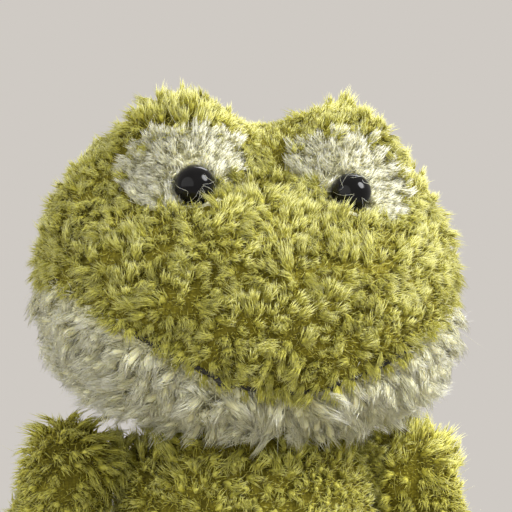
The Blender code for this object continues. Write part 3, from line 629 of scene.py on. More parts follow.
class Bundle:
    """Closed tapering tubes gathered into one mesh, with a map of tone and length."""

    def __init__(self):
        self.places = []
        self.faces = []
        self.sizes = []
        self.uvs = []
        self.count = 0

    def add(self, paths, radii, tones, tone_width, first=0.0, last=1.0):
        """Three-sided tubes: paths (tubes, points, 3), radii (tubes, points - 1 or 1)."""
        ahead = np.empty_like(paths)
        ahead[:, :-1] = paths[:, 1:] - paths[:, :-1]
        ahead[:, -1] = ahead[:, -2]
        ahead[:, 1:-1] += paths[:, 1:-1] - paths[:, :-2]
        ahead = unit(ahead)
        side = np.cross(ahead[:, 0], np.roll(ahead[:, 0], 1, axis=1) + OFF_AXIS)
        side = unit(side)[:, None, :]
        across = unit(side - (side * ahead).sum(-1, keepdims=True) * ahead)
        self.add_tubes(paths, across, np.cross(ahead, across), radii[..., None], 3, tones,
                       tone_width, first, last)

    def add_tubes(self, paths, across, along, radii, sides, tones, tone_width, first=0.0,
                  last=1.0):
        """Tubes with given directions across them, and a radius for each corner of a ring."""
        tubes, points, _ = paths.shape
        rings = points - 1
        turn = -np.arange(sides) * 2 * math.pi / sides
        circle = (across[:, :rings, None] * np.cos(turn)[None, None, :, None]
                  - along[:, :rings, None] * np.sin(turn)[None, None, :, None])
        walls = paths[:, :rings, None] + circle * radii[..., None]
        self.places.append(np.concatenate(
            [walls.reshape(tubes, -1, 3), paths[:, -1:]], axis=1).reshape(-1, 3))
        # each face is its corners' numbers and its corners' places on the map
        heights = np.linspace(0, 1, points)
        faces = []
        for ring in range(rings - 1):
            low, high = ring * sides, (ring + 1) * sides
            for k in range(sides):
                j = (k + 1) % sides
                faces.append(((low + k, low + j, high + j, high + k),
                              ((k, heights[ring]), (k + 1, heights[ring]),
                               (k + 1, heights[ring + 1]), (k, heights[ring + 1]))))
        low, tip = (rings - 1) * sides, rings * sides
        for k in range(sides):
            faces.append(((low + k, low + (k + 1) % sides, tip),
                          ((k, heights[-2]), (k + 1, heights[-2]), (k + 0.5, 1.0))))
        # the root cap has a little room of its own on the map
        faces.append((tuple(range(sides))[::-1],
                      tuple((k + 0.2 * (k % 2), 0.02 * (k % 3)) for k in range(sides))[::-1]))
        loops = np.array([corner for face, _ in faces for corner in face])
        uv = np.array([corner for _, face in faces for corner in face])
        sizes = np.array([len(face) for face, _ in faces])
        starts = self.count + np.arange(tubes) * (tip + 1)
        self.faces.append((loops[None, :] + starts[:, None]).ravel())
        self.sizes.append(np.tile(sizes, tubes))
        first, last = (np.broadcast_to(np.asarray(end, float), (tubes,))[:, None]
                       for end in (first, last))
        u = tones[:, None] + (uv[None, :, 0] / sides - 0.5) * tone_width
        v = first + (last - first) * uv[None, :, 1]
        self.uvs.append(np.clip(np.stack([u, v], axis=-1), MAP_EDGE, 1 - MAP_EDGE)
                        .reshape(-1, 2))
        self.count += tubes * (tip + 1)

    def make(self, name, material):
        """One object of all the tubes, kept just clear of the floor."""
        places = np.concatenate(self.places)
        places[:, 2] = np.maximum(places[:, 2], FLOOR_CLEARANCE)
        loops = np.concatenate(self.faces)
        sizes = np.concatenate(self.sizes)
        mesh = bpy.data.meshes.new(name)
        mesh.vertices.add(len(places))
        mesh.vertices.foreach_set("co", places.astype(np.float32).ravel())
        mesh.loops.add(len(loops))
        mesh.loops.foreach_set("vertex_index", loops.astype(np.int32))
        mesh.polygons.add(len(sizes))
        first = np.concatenate([[0], np.cumsum(sizes)[:-1]])
        mesh.polygons.foreach_set("loop_start", first.astype(np.int32))
        mesh.polygons.foreach_set("loop_total", sizes.astype(np.int32))
        mesh.update(calc_edges=True)
        mesh.uv_layers.new(name=UV_MAP)
        mesh.uv_layers[UV_MAP].data.foreach_set(
            "uv", np.concatenate(self.uvs).astype(np.float32).ravel())
        mesh.shade_smooth()
        mesh.materials.append(material)
        item = bpy.data.objects.new(name, mesh)
        bpy.context.scene.collection.objects.link(item)
        return item


# How the tufts of each cloth grow. The profile gives the tuft's width from root to tip: the
# curled green pile opens like a brush, and the combed pale locks close to a point. Each has a
# soft core with some rings, and a coat of short strands that lie along it, wander loosely and
# fan out at its end. Lean and curl are ranges in radians, and under counts the short fibres
# that stand round a tuft on the backing.
GREEN_TUFT = {
    "profile": (0.35, 0.8, 1.0), "radius": 2.2 * MM, "flat": 0.6, "core": 0.6,
    "core_width": 0.62, "rings": 3, "strand": 0.16 * MM, "strand_length": 0.48,
    "lean": (0.05, 0.6), "curl": (0.3, 1.4), "wave": 0.4 * MM, "loose": 0.34 * MM,
    "fan": 1.15, "under": 10, "under_radius": 0.2 * MM,
}
BODY_TUFT = dict(GREEN_TUFT, radius=2.5 * MM, strand=0.2 * MM, under=13,
                 under_radius=0.26 * MM)
SEAM_TUFT = dict(GREEN_TUFT, radius=1.7 * MM)
CREAM_LOCK = {
    "profile": (0.45, 0.95, 1.0, 0.6), "radius": 2.6 * MM, "flat": 0.5, "core": 0.7,
    "core_width": 0.52, "rings": 4, "strand": 0.16 * MM, "strand_length": 0.4,
    "lean": (0.55, 1.0), "curl": (0.1, 0.8), "wave": 1.5 * MM, "loose": 0.3 * MM,
    "fan": 1.15, "under": 12, "under_radius": 0.22 * MM,
}
PATCH_LOCK = {
    "profile": (0.4, 0.8, 0.95, 0.6), "radius": 1.9 * MM, "flat": 0.6, "core": 0.65,
    "core_width": 0.52, "rings": 3, "strand": 0.15 * MM, "strand_length": 0.44,
    "lean": (0.1, 0.6), "curl": (0.2, 1.1), "wave": 0.6 * MM, "loose": 0.32 * MM,
    "fan": 1.2, "under": 12, "under_radius": 0.22 * MM,
}
CORE_SIDES = 6
ROOT_DEPTH = 1.2 * MM
LINE_POINTS = 9
LEAN_SPREAD = 0.16
WAVE_TURN = 4.2
WAVE_GROWTH = 0.7
TUFT_SIZES = (0.75, 1.2)
# How uneven a core is round itself and from ring to ring, as shares of its radius
RIDGE = 0.2
RING_RIDGE = 0.1
CORE_TONES = 0.05
FIBRE_TONES = 0.01
TONE_LIMITS = (0.02, 0.98)
TONE_SPREAD = 0.07
# Strands start along the core up to just short of its end
STRAND_STARTS = (0.98, 0.95)
STRAND_CROWDING = 0.8
STRAND_TWIST = 0.25
# Past this share of the core, strands come out of its middle as well as its side
CORE_END = 0.7


def along_line(values, rows, at):
    """Values between the points of some rows' lines, at shares of the lines' length."""
    spot = np.clip(at, 0, 1.2) * (LINE_POINTS - 1)
    low = np.clip(spot.astype(int), 0, LINE_POINTS - 2)
    share = (spot - low)[..., None]
    return values[rows, low] * (1 - share) + values[rows, low + 1] * share


def width_along(kind, at):
    """A tuft's width at shares of its length, as a share of its radius."""
    return np.interp(at, np.linspace(0, 1, len(kind["profile"])), kind["profile"])


def tuft_lines(roots, normals, leans, lengths, kind, draw):
    """The curling middle line of each tuft, with the two directions across it."""
    count = len(roots)
    start = draw.uniform(*kind["lean"], count)
    bend = draw.uniform(*kind["curl"], count)
    leans = leans + draw.normal(0, LEAN_SPREAD, leans.shape)
    flat = unit(leans - (leans * normals).sum(1, keepdims=True) * normals)
    across = np.cross(normals, flat)
    fine = np.linspace(0, 1, LINE_POINTS)
    angles = start[:, None] + bend[:, None] * (fine[1:] + fine[:-1])[None, :] / 2
    ways = (np.cos(angles)[..., None] * normals[:, None]
            + np.sin(angles)[..., None] * flat[:, None])
    stride = lengths[:, None, None] / (len(fine) - 1)
    line = np.concatenate([np.zeros((count, 1, 3)), np.cumsum(ways * stride, axis=1)], axis=1)
    phase = draw.uniform(0, 2 * math.pi, count)
    wave = (kind["wave"] * np.sin(phase[:, None] + fine[None, :] * WAVE_TURN)
            * fine[None, :] ** WAVE_GROWTH)
    line = (roots - normals * ROOT_DEPTH)[:, None] + line + across[:, None] * wave[..., None]
    forward = unit(np.gradient(line, axis=1))
    out = unit(np.cross(forward, across[:, None]))
    return line, out, np.cross(out, forward)


def grow_tufts(bundle, roots, normals, leans, lengths, strand_counts, kind, tones, seed):
    """Add a ridged core and a coat of strands for each tuft to a bundle."""
    draw = np.random.default_rng(seed)
    count = len(roots)
    line, out, over = tuft_lines(roots, normals, leans, lengths, kind, draw)
    radius = kind["radius"] * draw.uniform(*TUFT_SIZES, count)

    rings = kind["rings"]
    core_at = np.linspace(0, kind["core"], rings + 1)[None, :] * np.ones((count, 1))
    core, core_out, core_over = (
        along_line(values, np.arange(count)[:, None], core_at) for values in (line, out, over))
    ridges = 1 + RIDGE * draw.uniform(-1, 1, (count, 1, CORE_SIDES))
    ridges = ridges + RING_RIDGE * draw.uniform(-1, 1, (count, rings, CORE_SIDES))
    core_radii = (radius[:, None] * width_along(kind, core_at[:, :-1]))[..., None] * ridges
    bundle.add_tubes(core, core_out * kind["flat"], core_over, core_radii * kind["core_width"],
                     CORE_SIDES, tones, CORE_TONES)

    owner = np.repeat(np.arange(count), strand_counts)
    total = len(owner)
    latest, share_of_core = STRAND_STARTS
    first = draw.uniform(0.0, latest, total) ** STRAND_CROWDING * kind["core"] * share_of_core
    last = first + kind["strand_length"] * draw.uniform(0.7, 1.2, total)
    place = draw.uniform(0, 2 * math.pi, total)
    turn = np.stack([place, place + draw.normal(0, STRAND_TWIST, total)], axis=1)
    at = np.stack([first, last], axis=1)
    reach = np.stack([draw.uniform(0.4, 1.0, total), draw.uniform(0.7, kind["fan"], total)],
                     axis=1)
    ending = first > kind["core"] * CORE_END
    reach[ending, 0] *= np.sqrt(draw.uniform(0, 1, ending.sum()))
    reach[ending, 1] *= reach[ending, 0] + 0.1
    distance = radius[owner][:, None] * reach * width_along(kind, at)
    middle, strand_out, strand_over = (
        along_line(values, owner[:, None], at) for values in (line, out, over))
    paths = (middle + strand_out * (distance * kind["flat"] * np.cos(turn))[..., None]
             + strand_over * (distance * np.sin(turn))[..., None])
    paths[:, 1] += draw.normal(0, kind["loose"], (total, 3))
    radii = kind["strand"] * draw.uniform(0.7, 1.3, total)[:, None]
    # the coat is a little paler than the core it wraps: a faint painted shade inside the tuft
    strand_tones = tones[owner] + draw.normal(0.02, TONE_SPREAD, total)
    bundle.add(paths, radii, np.clip(strand_tones, *TONE_LIMITS), FIBRE_TONES,
               np.clip(first, 0, 0.95), np.clip(last, 0.05, 1.0))


UNDERGROWTH_DEPTH = 0.3 * MM
UNDERGROWTH_REACH = 3.1 * MM
UNDERGROWTH_SPREAD = 1.25 * MM
UNDERGROWTH_SHADE = 0.08
# the short fibres take the map's lower part, with the painted shade of the roots
UNDERGROWTH_MAP = (0.05, 0.55)


def grow_undergrowth(bundle, tones, spots, normals, length, radius, seed):
    """Short fibres that stand all over the backing between the tufts."""
    draw = np.random.default_rng(seed)
    count = len(spots)
    way = unit(normals + draw.normal(0, 0.55, (count, 3)))
    reach = length * draw.uniform(0.55, 1.2, count)
    paths = np.stack([spots - normals * UNDERGROWTH_DEPTH, spots + way * reach[:, None]], axis=1)
    radii = radius * draw.uniform(0.7, 1.3, count)[:, None]
    tones = np.clip(tones + draw.normal(0, TONE_SPREAD, count), *TONE_LIMITS)
    bundle.add(paths, radii, tones, FIBRE_TONES, *UNDERGROWTH_MAP)


STRAY_POINTS = 4
STRAY_RADIUS = 0.06 * MM
STRAY_LENGTH = 0.75


def grow_strays(bundle, roots, normals, length, seed):
    """Single loose fibres that stand out of the pile, in its paler tones: a painted highlight
    where they catch the light.
    """
    draw = np.random.default_rng(seed)
    count = len(roots)
    heights = np.linspace(0, 1, STRAY_POINTS)
    way = unit(normals + draw.normal(0, 0.6, (count, 3)))
    bend = draw.normal(0, 0.6, (count, 3))
    reach = length * draw.uniform(0.6, 1.15, count)
    paths = roots[:, None] + reach[:, None, None] * (
        way[:, None] * heights[None, :, None]
        + bend[:, None] * heights[None, :, None] ** 2)
    taper = np.interp(heights[:-1], (0, 1), (1.0, 0.6))
    # painted highlight: the strays take only the pale tones
    bundle.add(paths, STRAY_RADIUS * taper[None, :] * np.ones((count, 1)),
               draw.uniform(0.6, 0.9, count), FIBRE_TONES)


def tone_field(points, scale, seed):
    """A slow drift of tone over the cloth, from 0 to 1, with a step from tuft to tuft."""
    slow = noise_at(points, scale, (seed * 0.37, 1.7, 2.9))
    steps = np.random.default_rng(seed).normal(0, 0.14, len(points))
    return np.clip(0.5 + 0.45 * slow + steps, 0.05, 0.95)


def lean_field(points, scale, seed):
    """A direction at each point that swirls slowly over the cloth."""
    shift = Vector((3.1, seed * 0.41, 0.7))
    # without a seed, the vector noise starts from the time of day
    noise.seed_set(seed)
    return np.array([noise.noise_vector(Vector(p) / scale + shift) for p in points])


PIECE_TRIANGLES = 180000


def pile_pieces(name, body, growth, kind, tone_scale, material, node_names, seed,
                strays=0.25):
    """Grow a cloth's pile, cut by its turn about Z into as many pieces as its faces need."""
    roots, normals, leans, lengths, counts = growth
    order = np.argsort(np.arctan2(roots[:, 0], -roots[:, 1]))
    faces = np.cumsum(counts[order] * tube_triangles(1, 3)
                      + tube_triangles(kind["rings"], CORE_SIDES)
                      + tube_triangles(STRAY_POINTS - 1, 3) * strays
                      + kind["under"] * tube_triangles(1, 3))
    parts = max(1, math.ceil(faces[-1] / PIECE_TRIANGLES))
    for part in range(parts):
        chosen = order[(faces > faces[-1] * part / parts)
                       & (faces <= faces[-1] * (part + 1) / parts)]
        bundle = Bundle()
        own_seed = seed + 10 * part
        tones = tone_field(roots[chosen], tone_scale, seed)
        tones = np.clip(tones + np.random.default_rng(own_seed).normal(0, 0.02, len(tones)),
                        0.05, 0.95)
        grow_tufts(bundle, roots[chosen], normals[chosen], leans[chosen], lengths[chosen],
                   counts[chosen], kind, tones, own_seed + 1)
        draw = np.random.default_rng(own_seed + 2)
        owner = np.repeat(chosen, kind["under"])
        around = draw.normal(0, 1.0, (len(owner), 3))
        around -= (around * normals[owner]).sum(1, keepdims=True) * normals[owner]
        grow_undergrowth(bundle, np.repeat(tones, kind["under"]) - UNDERGROWTH_SHADE,
                         roots[owner] + around * UNDERGROWTH_SPREAD, normals[owner],
                         np.minimum(UNDERGROWTH_REACH, lengths[owner] * 0.6),
                         kind["under_radius"], own_seed + 4)
        loose = chosen[draw.random(len(chosen)) < strays]
        if len(loose):
            grow_strays(bundle, roots[loose], normals[loose], lengths.mean() * STRAY_LENGTH,
                        own_seed + 3)
        item = bundle.make(name if parts == 1 else f"{name}_{part + 1}", material)
        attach(item, body)
        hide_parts(*node_names)


# Pile grows to its full length where the next body is this far away, and none grows near it
PILE_ROOM = (2.5 * MM, 5.5 * MM)
LEAST_ROOM = 0.02


def pile_roots(mesh, near, spacing, seed, wanted=None):
    """Roots with their normals, and how much of its full length the pile has room for there."""
    roots, normals = scatter(mesh, spacing, seed, wanted)
    room = smooth_step(distances(roots, near), *PILE_ROOM)
    kept = room > LEAST_ROOM
    return roots[kept], normals[kept], room[kept]


def nearest_of(points, trees):
    """The index of the search tree whose faces lie nearest each point."""
    return np.stack([distances(points, tree) for tree in trees]).argmin(axis=0)


def pile_lengths(full, low, high, least, room, draw):
    """Lengths between two shares of the full one, down to a least share where room is short."""
    return full * draw.uniform(low, high, len(room)) * (least + (1 - least) * room)


# Just under the jaw the pile grows longer, and it stands up beside the neck to close the notch
TALL_PILE = (80 * MM, 92 * MM)
NOTCH_RISE = (84 * MM, 92 * MM)
NOTCH_PLACES = (20 * MM, 29 * MM, 39 * MM, 45 * MM)


def build_cloth_and_pile(name, pile_names, green, backing, seed):
    """A limb or the torso: one stuffed cloth form and the green pile on it."""
    sizes = bpy.context.scene.frog_sizes
    form = FORMS[name]
    cloth, near = backing_cloth(f"{name}_cloth", form, sizes.pile_depth)
    skins = [node for node in form["nodes"] if node.endswith(("panel", "skin"))]
    ride_cloth(cloth, form["body"], skins, backing)
    roots, normals, room = pile_roots(cloth.data, near, sizes.body_spacing, seed)
    leans = lean_field(roots, 16 * MM, seed) + np.array((0, -0.05, -0.25))
    lengths = pile_lengths(sizes.tuft_length, 0.75, 1.1, 0.45, room,
                           np.random.default_rng(seed + 9))
    height = roots[:, 2]
    notch = smooth_step(height, *NOTCH_RISE) * np.interp(
        np.abs(roots[:, 0]), NOTCH_PLACES, (0, 1, 1, 0))
    lengths *= 1 + 0.65 * smooth_step(height, *TALL_PILE) + 0.8 * notch
    leans[:, 0] += 0.4 * np.sign(roots[:, 0]) * notch
    leans[:, 2] += 1.1 * notch
    front = np.clip(0.5 - normals[:, 1] * 0.5, 0, 1)
    counts = (10 + 16 * front).astype(int)
    for index, (pile_name, wanted) in enumerate(pile_names.items()):
        inside = wanted(roots)
        growth = [values[inside] for values in (roots, normals, leans, lengths, counts)]
        pile_pieces(pile_name, form["body"], growth, BODY_TUFT, 14 * MM, green, skins,
                    seed + 20 * index, strays=0.5)


# Head

HEAD_PANELS = ["crown_panel", "jaw_panel", "left_eye_patch", "right_eye_patch"]
JAW = 1
PATCHES = {"right": 3, "left": 2}
# How a bead is found in its node: points this near its surface, in so many rounds
BALL_SHELL = 0.6 * MM
BALL_ROUNDS = 20
# Beside a bead the cloth hardly lies in, and the pile is short and leans away
BEAD_CLEAR = 0.2 * MM
BEAD_EDGE = 7.0 * MM
BEAD_PILE_EDGE = 8.0 * MM
BEAD_REST = 11.0 * MM
BEAD_DEPTH = 0.15
BEAD_LEAN = 1.4
BEAD_SHORTER = 0.35
# Green pile covers a patch's upper edge, and below a line that falls away from the nose
PATCH_OVERLAP = 2.2 * MM
MUZZLE_RISE = -3.0 * MM
MUZZLE_SLOPE = 0.6
# How much longer the pile is on top, at these shares of the way from the valley to a bead
DOME_RISE = (-25 * MM, -13 * MM)
VALLEY_TO_DOME = (0.0, 0.45, 0.9, 1.6)
VALLEY_TO_DOME_PILE = (-0.55, -0.35, 0.25, 0.1)
# Above the mouth the pile hangs down
MOUTH_REACH = 8 * MM
MOUTH_DROOP = np.array((0, 0, -1.2))
JAW_LEAN_SPREAD = 40 * MM
PATCH_LENGTH = 7.5 * MM
PATCH_STRANDS = 54


def bead_centre(side):
    """The middle of a bead, fitted to its CAD node's ball from the node's front end."""
    low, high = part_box(f"{side}_eye")
    radius = bpy.context.scene.frog_sizes.bead_diameter / 2
    places, _ = vertex_arrays(frame["nodes"][f"{side}_eye"].data)
    guess = Vector(((low.x + high.x) / 2, low.y + radius, high.z - radius))
    for _ in range(BALL_ROUNDS):
        ball = [Vector(p) for p in places
                if abs((Vector(p) - guess).length - radius) < BALL_SHELL]
        shift = Vector()
        for point in ball:
            offset = point - guess
            shift += offset.normalized() * (offset.length - radius)
        guess += shift / max(len(ball), 1)
    return guess


class FROG_OT_head(bpy.types.Operator):
    """Dress the head: its stuffed cloth, the curled green pile and the combed pale pile"""
    bl_idname = "frog.head"
    bl_label = "Head"

    def execute(self, context):
        sizes = context.scene.frog_sizes
        finish = materials()
        beads = [bead_centre(side) for side in SIDES]

        def beside_beads(places):
            share = np.ones(len(places))
            for bead in beads:
                gap = np.linalg.norm(places - np.array(bead), axis=1)
                rise = smooth_step(gap, BEAD_EDGE, BEAD_REST)
                share = np.minimum(share, BEAD_DEPTH + (1 - BEAD_DEPTH) * rise)
            return share

        cloth, near = backing_cloth("head_cloth", FORMS["head"], sizes.pile_depth, beside_beads)
        trees = [surface_tree([node]) for node in HEAD_PANELS]
        ride_cloth(cloth, "head", HEAD_PANELS, finish["green_backing"])
        cloth.data.materials.append(finish["cream_backing"])
        middles = np.array([tuple(face.center) for face in cloth.data.polygons])
        pale = nearest_of(middles, trees) > 0
        cloth.data.polygons.foreach_set("material_index", pale.astype(np.int32))
        clear = sizes.bead_diameter / 2 + BEAD_CLEAR

        def region_of(points):
            """The number of the panel whose pile shows at each point."""
            region = nearest_of(points, trees)
            edge = distances(points, trees[0]) < PATCH_OVERLAP
            for side, bead in zip(SIDES, beads):
                away = points - np.array(bead)
                brow = edge & (away[:, 2] > 0)
                muzzle = away[:, 2] < MUZZLE_RISE - MUZZLE_SLOPE * SIDES[side] * away[:, 0]
                region[(region == PATCHES[side]) & (brow | muzzle)] = 0
            return region

        def roots_in(region, spacing, seed):
            """The roots of one panel's pile, clear of the beads."""
            def wanted(points):
                kept = region_of(points) == region
                for bead in beads:
                    kept &= np.linalg.norm(points - np.array(bead), axis=1) > clear
                return kept
            return pile_roots(cloth.data, near, spacing, seed, wanted)

        self.green_pile(roots_in, trees[JAW], beads, finish, sizes)
        self.jaw_pile(roots_in, finish, sizes)
        self.patch_pile(roots_in, beads, finish, sizes)
        return {"FINISHED"}

    def green_pile(self, roots_in, jaw_tree, beads, finish, sizes):
        """Curled tufts on skull, domes and muzzle."""
        roots, normals, room = roots_in(0, sizes.tuft_spacing, 11)
        leans = lean_field(roots, 10 * MM, 12) * 1.5 + np.array((0, 0, 0.1))
        lengths = pile_lengths(sizes.tuft_length, 0.7, 1.15, 0.45, room,
                               np.random.default_rng(13))
        lengths *= 1 + 0.4 * noise_at(roots, 7 * MM)
        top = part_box("crown_panel")[1].z
        on_top = smooth_step(roots[:, 2], top + DOME_RISE[0], top + DOME_RISE[1])
        across = np.abs(roots[:, 0]) / abs(beads[0].x)
        lengths *= 1 + on_top * np.interp(across, VALLEY_TO_DOME, VALLEY_TO_DOME_PILE)
        front = np.clip(0.45 - normals[:, 1] * 0.7, 0, 1)
        counts = (26 + 26 * front).astype(int)
        near_mouth = np.clip(1 - distances(roots, jaw_tree) / MOUTH_REACH, 0, 1)
        leans += MOUTH_DROOP * near_mouth[:, None]
        for bead in beads:
            away = roots - np.array(bead)
            gap = np.linalg.norm(away, axis=1)
            beside = 1 - smooth_step(gap, BEAD_PILE_EDGE, BEAD_REST)
            leans += away / gap[:, None] * BEAD_LEAN * beside[:, None]
            lengths *= 1 - BEAD_SHORTER * beside
        pile_pieces("crown_pile", "head", (roots, normals, leans, lengths, counts), GREEN_TUFT,
                    12 * MM, finish["green"], ["crown_panel"], 100, strays=0.2)

    def jaw_pile(self, roots_in, finish, sizes):
        """Combed pale locks on the jaw, which hang and part to both sides."""
        roots, normals, room = roots_in(JAW, sizes.lock_spacing, 21)
        outward = roots - np.array(middle_of("head_stuffing"))
        leans = lean_field(roots, 12 * MM, 22)
        leans[:, 0] += outward[:, 0] / JAW_LEAN_SPREAD * 0.8
        leans[:, 2] -= 0.75
        lengths = pile_lengths(sizes.lock_length, 0.6, 1.1, 0.35, room,
                               np.random.default_rng(23))
        lengths *= 1 + 0.08 * smooth_step(-normals[:, 2], 0.1, 0.6)
        front = np.clip(0.5 - normals[:, 1] * 0.6, 0, 1)
        counts = (26 + 38 * front).astype(int)
        pile_pieces("jaw_pile", "head", (roots, normals, leans, lengths, counts), CREAM_LOCK,
                    9 * MM, finish["cream"], ["jaw_panel"], 200, strays=0.25)

    def patch_pile(self, roots_in, beads, finish, sizes):
        """Short pale locks round each bead, which fan out from it."""
        for (side, region), bead in zip(PATCHES.items(), beads):
            roots, normals, room = roots_in(region, sizes.lock_spacing * 0.8, 30 + region)
            away = roots - np.array(bead)
            gap = np.linalg.norm(away, axis=1, keepdims=True)
            leans = away / gap * smooth_step(gap, 6 * MM, 14 * MM) + np.array((0, 0, 0.25))
            leans += lean_field(roots, 9 * MM, 32) * 0.6
            lengths = pile_lengths(PATCH_LENGTH, 0.7, 1.1, 0.4, room,
                                   np.random.default_rng(33 + region))
            counts = np.full(len(roots), PATCH_STRANDS)
            pile_pieces(f"{side}_eye_patch_pile", "head",
                        (roots, normals, leans, lengths, counts), PATCH_LOCK, 8 * MM,
                        finish["cream"], [f"{side}_eye_patch"],
                        300 + 10 * region, strays=0.4)
            self.fibres_over_bead(side, np.array(bead), finish, sizes, 360 + region)

    def fibres_over_bead(self, side, bead, finish, sizes, seed, fibres=7, points=9):
        """A few fine fibres that have strayed over a bead and lie on it."""
        draw = np.random.default_rng(seed)
        steps = np.linspace(0, 1, points)
        paths = []
        for _ in range(fibres):
            start = draw.uniform(0, 2 * math.pi)
            end = start + draw.uniform(0.5, 1.5)
            tilt = draw.uniform(0.35, 0.85)
            turn = start + (end - start) * steps
            height = 0.25 + tilt * np.sin(math.pi * steps * draw.uniform(0.6, 1.0))
            rim = np.sqrt(1 - np.clip(height, 0, 0.98) ** 2)
            way = np.stack([rim * np.cos(turn), -height, rim * np.sin(turn)], axis=1)
            paths.append(bead + unit(way) * (sizes.bead_diameter / 2 + 0.12 * MM))
        bundle = Bundle()
        # painted light: the fibres take pale tones and the tip colours of the map
        bundle.add(np.array(paths), np.full((fibres, points - 1), 0.045 * MM),
                   draw.uniform(0.6, 0.9, fibres), FIBRE_TONES, 0.6, 1.0)
        item = bundle.make(f"{side}_bead_fibres", finish["cream"])
        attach(item, "head")
        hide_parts(f"{side}_eye_patch")


# Torso and limbs

SEAT_SHARE = 1.6


class FROG_OT_torso(bpy.types.Operator):
    """Dress the torso: its stuffed cloth and the green pile in front, behind and below"""
    bl_idname = "frog.torso"
    bl_label = "Torso"

    def execute(self, context):
        finish = materials()
        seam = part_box("torso_front_panel")[1].y
        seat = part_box("seat_panel")[1].z * SEAT_SHARE
        build_cloth_and_pile("torso", {
            "torso_front_pile": lambda p: (p[:, 1] < seam) & (p[:, 2] >= seat),
            "torso_back_pile": lambda p: (p[:, 1] >= seam) & (p[:, 2] >= seat),
            "seat_pile": lambda p: p[:, 2] < seat,
        }, finish["green"], finish["green_backing"], 400)
        return {"FINISHED"}


def everywhere(places):
    """Every place, for a form whose pile is one piece."""
    return np.full(len(places), True)


class FROG_OT_limbs(bpy.types.Operator):
    """Dress the arms, legs and feet in stuffed cloth and green pile"""
    bl_idname = "frog.limbs"
    bl_label = "Arms and legs"

    def execute(self, context):
        finish = materials()
        for index, side in enumerate(SIDES):
            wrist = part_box(f"{side}_hand_skin")[1].z
            limbs = (
                ("arm", {f"{side}_arm_pile": lambda p: p[:, 2] >= wrist,
                         f"{side}_hand_pile": lambda p: p[:, 2] < wrist}, 500),
                ("leg", {f"{side}_leg_pile": everywhere}, 700),
                ("foot", {f"{side}_foot_pile": everywhere}, 900),
            )
            for limb, pile_names, seed in limbs:
                build_cloth_and_pile(f"{side}_{limb}", pile_names, finish["green"],
                                     finish["green_backing"], seed + 100 * index)
        return {"FINISHED"}


# Eyes, threads, label and filling

SHANK_RADIUS = 2.2 * MM
SHANK_LENGTH = 14 * MM
SHANK_REACH = 6 * MM


def turn_to(item, way):
    """Turn a new primitive's Z to a direction, and put its place and turn in its mesh."""
    item.rotation_mode = "QUATERNION"
    item.rotation_quaternion = way.to_track_quat("Z", "Y")
    bpy.ops.object.transform_apply(location=True, rotation=True, scale=True)


class FROG_OT_eyes(bpy.types.Operator):
    """Make the polished beads on their shanks, and finish the washers behind the cloth"""
    bl_idname = "frog.eyes"
    bl_label = "Eyes"

    def execute(self, context):
        finish = materials()
        radius = context.scene.frog_sizes.bead_diameter / 2
        for side in SIDES:
            centre = bead_centre(side)
            back = (middle_of(f"{side}_eye_washer") - centre).normalized()
            deselect_all()
            bpy.ops.mesh.primitive_uv_sphere_add(segments=48, ring_count=32, radius=radius,
                                                 location=centre)
            bead = bpy.context.object
            bead.name = f"{side}_bead"
            turn_to(bead, back)
            bpy.ops.mesh.primitive_cylinder_add(vertices=24, radius=SHANK_RADIUS,
                                                depth=SHANK_LENGTH,
                                                location=centre + back * (radius + SHANK_REACH))
            shank = bpy.context.object
            turn_to(shank, back)
            apply_modifier(bead, "BOOLEAN", operation="UNION", object=shank, solver="EXACT")
            bpy.data.objects.remove(shank)
            select_only(bead)
            bpy.ops.object.shade_smooth_by_angle(angle=math.radians(40))
            give_material(bead, finish["bead"])
            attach(bead, "head")
            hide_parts(f"{side}_eye")
            frame["nodes"][f"{side}_eye_washer"].data.materials[0] = finish["washer"]
        return {"FINISHED"}


STITCH_PITCH = 3.0 * MM
STITCH_RISE = 1.1 * MM
STITCH_RADIUS = 0.4 * MM
STITCH_POINTS = 12
# The pile that the thread gathers between the forms, and how far it reaches at each joint
GATHERED_SPACING = 2.1 * MM
GATHERED_STRANDS = 26
SEAM_JOINTS = [("neck", 8.0 * MM)] + [
    (f"{side}_{joint}", reach) for joint, reach in (("shoulder", 8.0 * MM), ("hip", 6.0 * MM))
    for side in SIDES]
# The mouth's thread lies deep in the pile, but less so at the bit that shows
MOUTH_SHOWN_AT = -18 * MM
MOUTH_SHOWN_EDGE = (1 * MM, 4 * MM)
MOUTH_DEPTH = 3.1 * MM
MOUTH_HIDDEN_DEPTH = 2.0 * MM
MOUTH_RINGS = 17
MOUTH_POINTS = 300
PLIES = 3
PLY_TURN = 7.5
PLY_REACH = 0.42 * MM
PLY_RADIUS = 0.48 * MM


def threads_of(name, lines, radius, closed):
    """A mesh of round threads along some lines."""
    curve = bpy.data.curves.new(name, "CURVE")
    curve.dimensions = "3D"
    curve.bevel_depth = radius
    curve.bevel_resolution = 2
    curve.use_fill_caps = not closed
    for line in lines:
        spline = curve.splines.new("POLY")
        spline.points.add(len(line) - 1)
        spline.points.foreach_set("co", np.c_[line, np.ones(len(line))].ravel())
        spline.use_cyclic_u = closed
    item = bpy.data.objects.new(name, curve)
    bpy.context.scene.collection.objects.link(item)
    select_only(item)
    bpy.ops.object.convert(target="MESH")
    item = bpy.context.object
    item.data.shade_smooth()
    return item


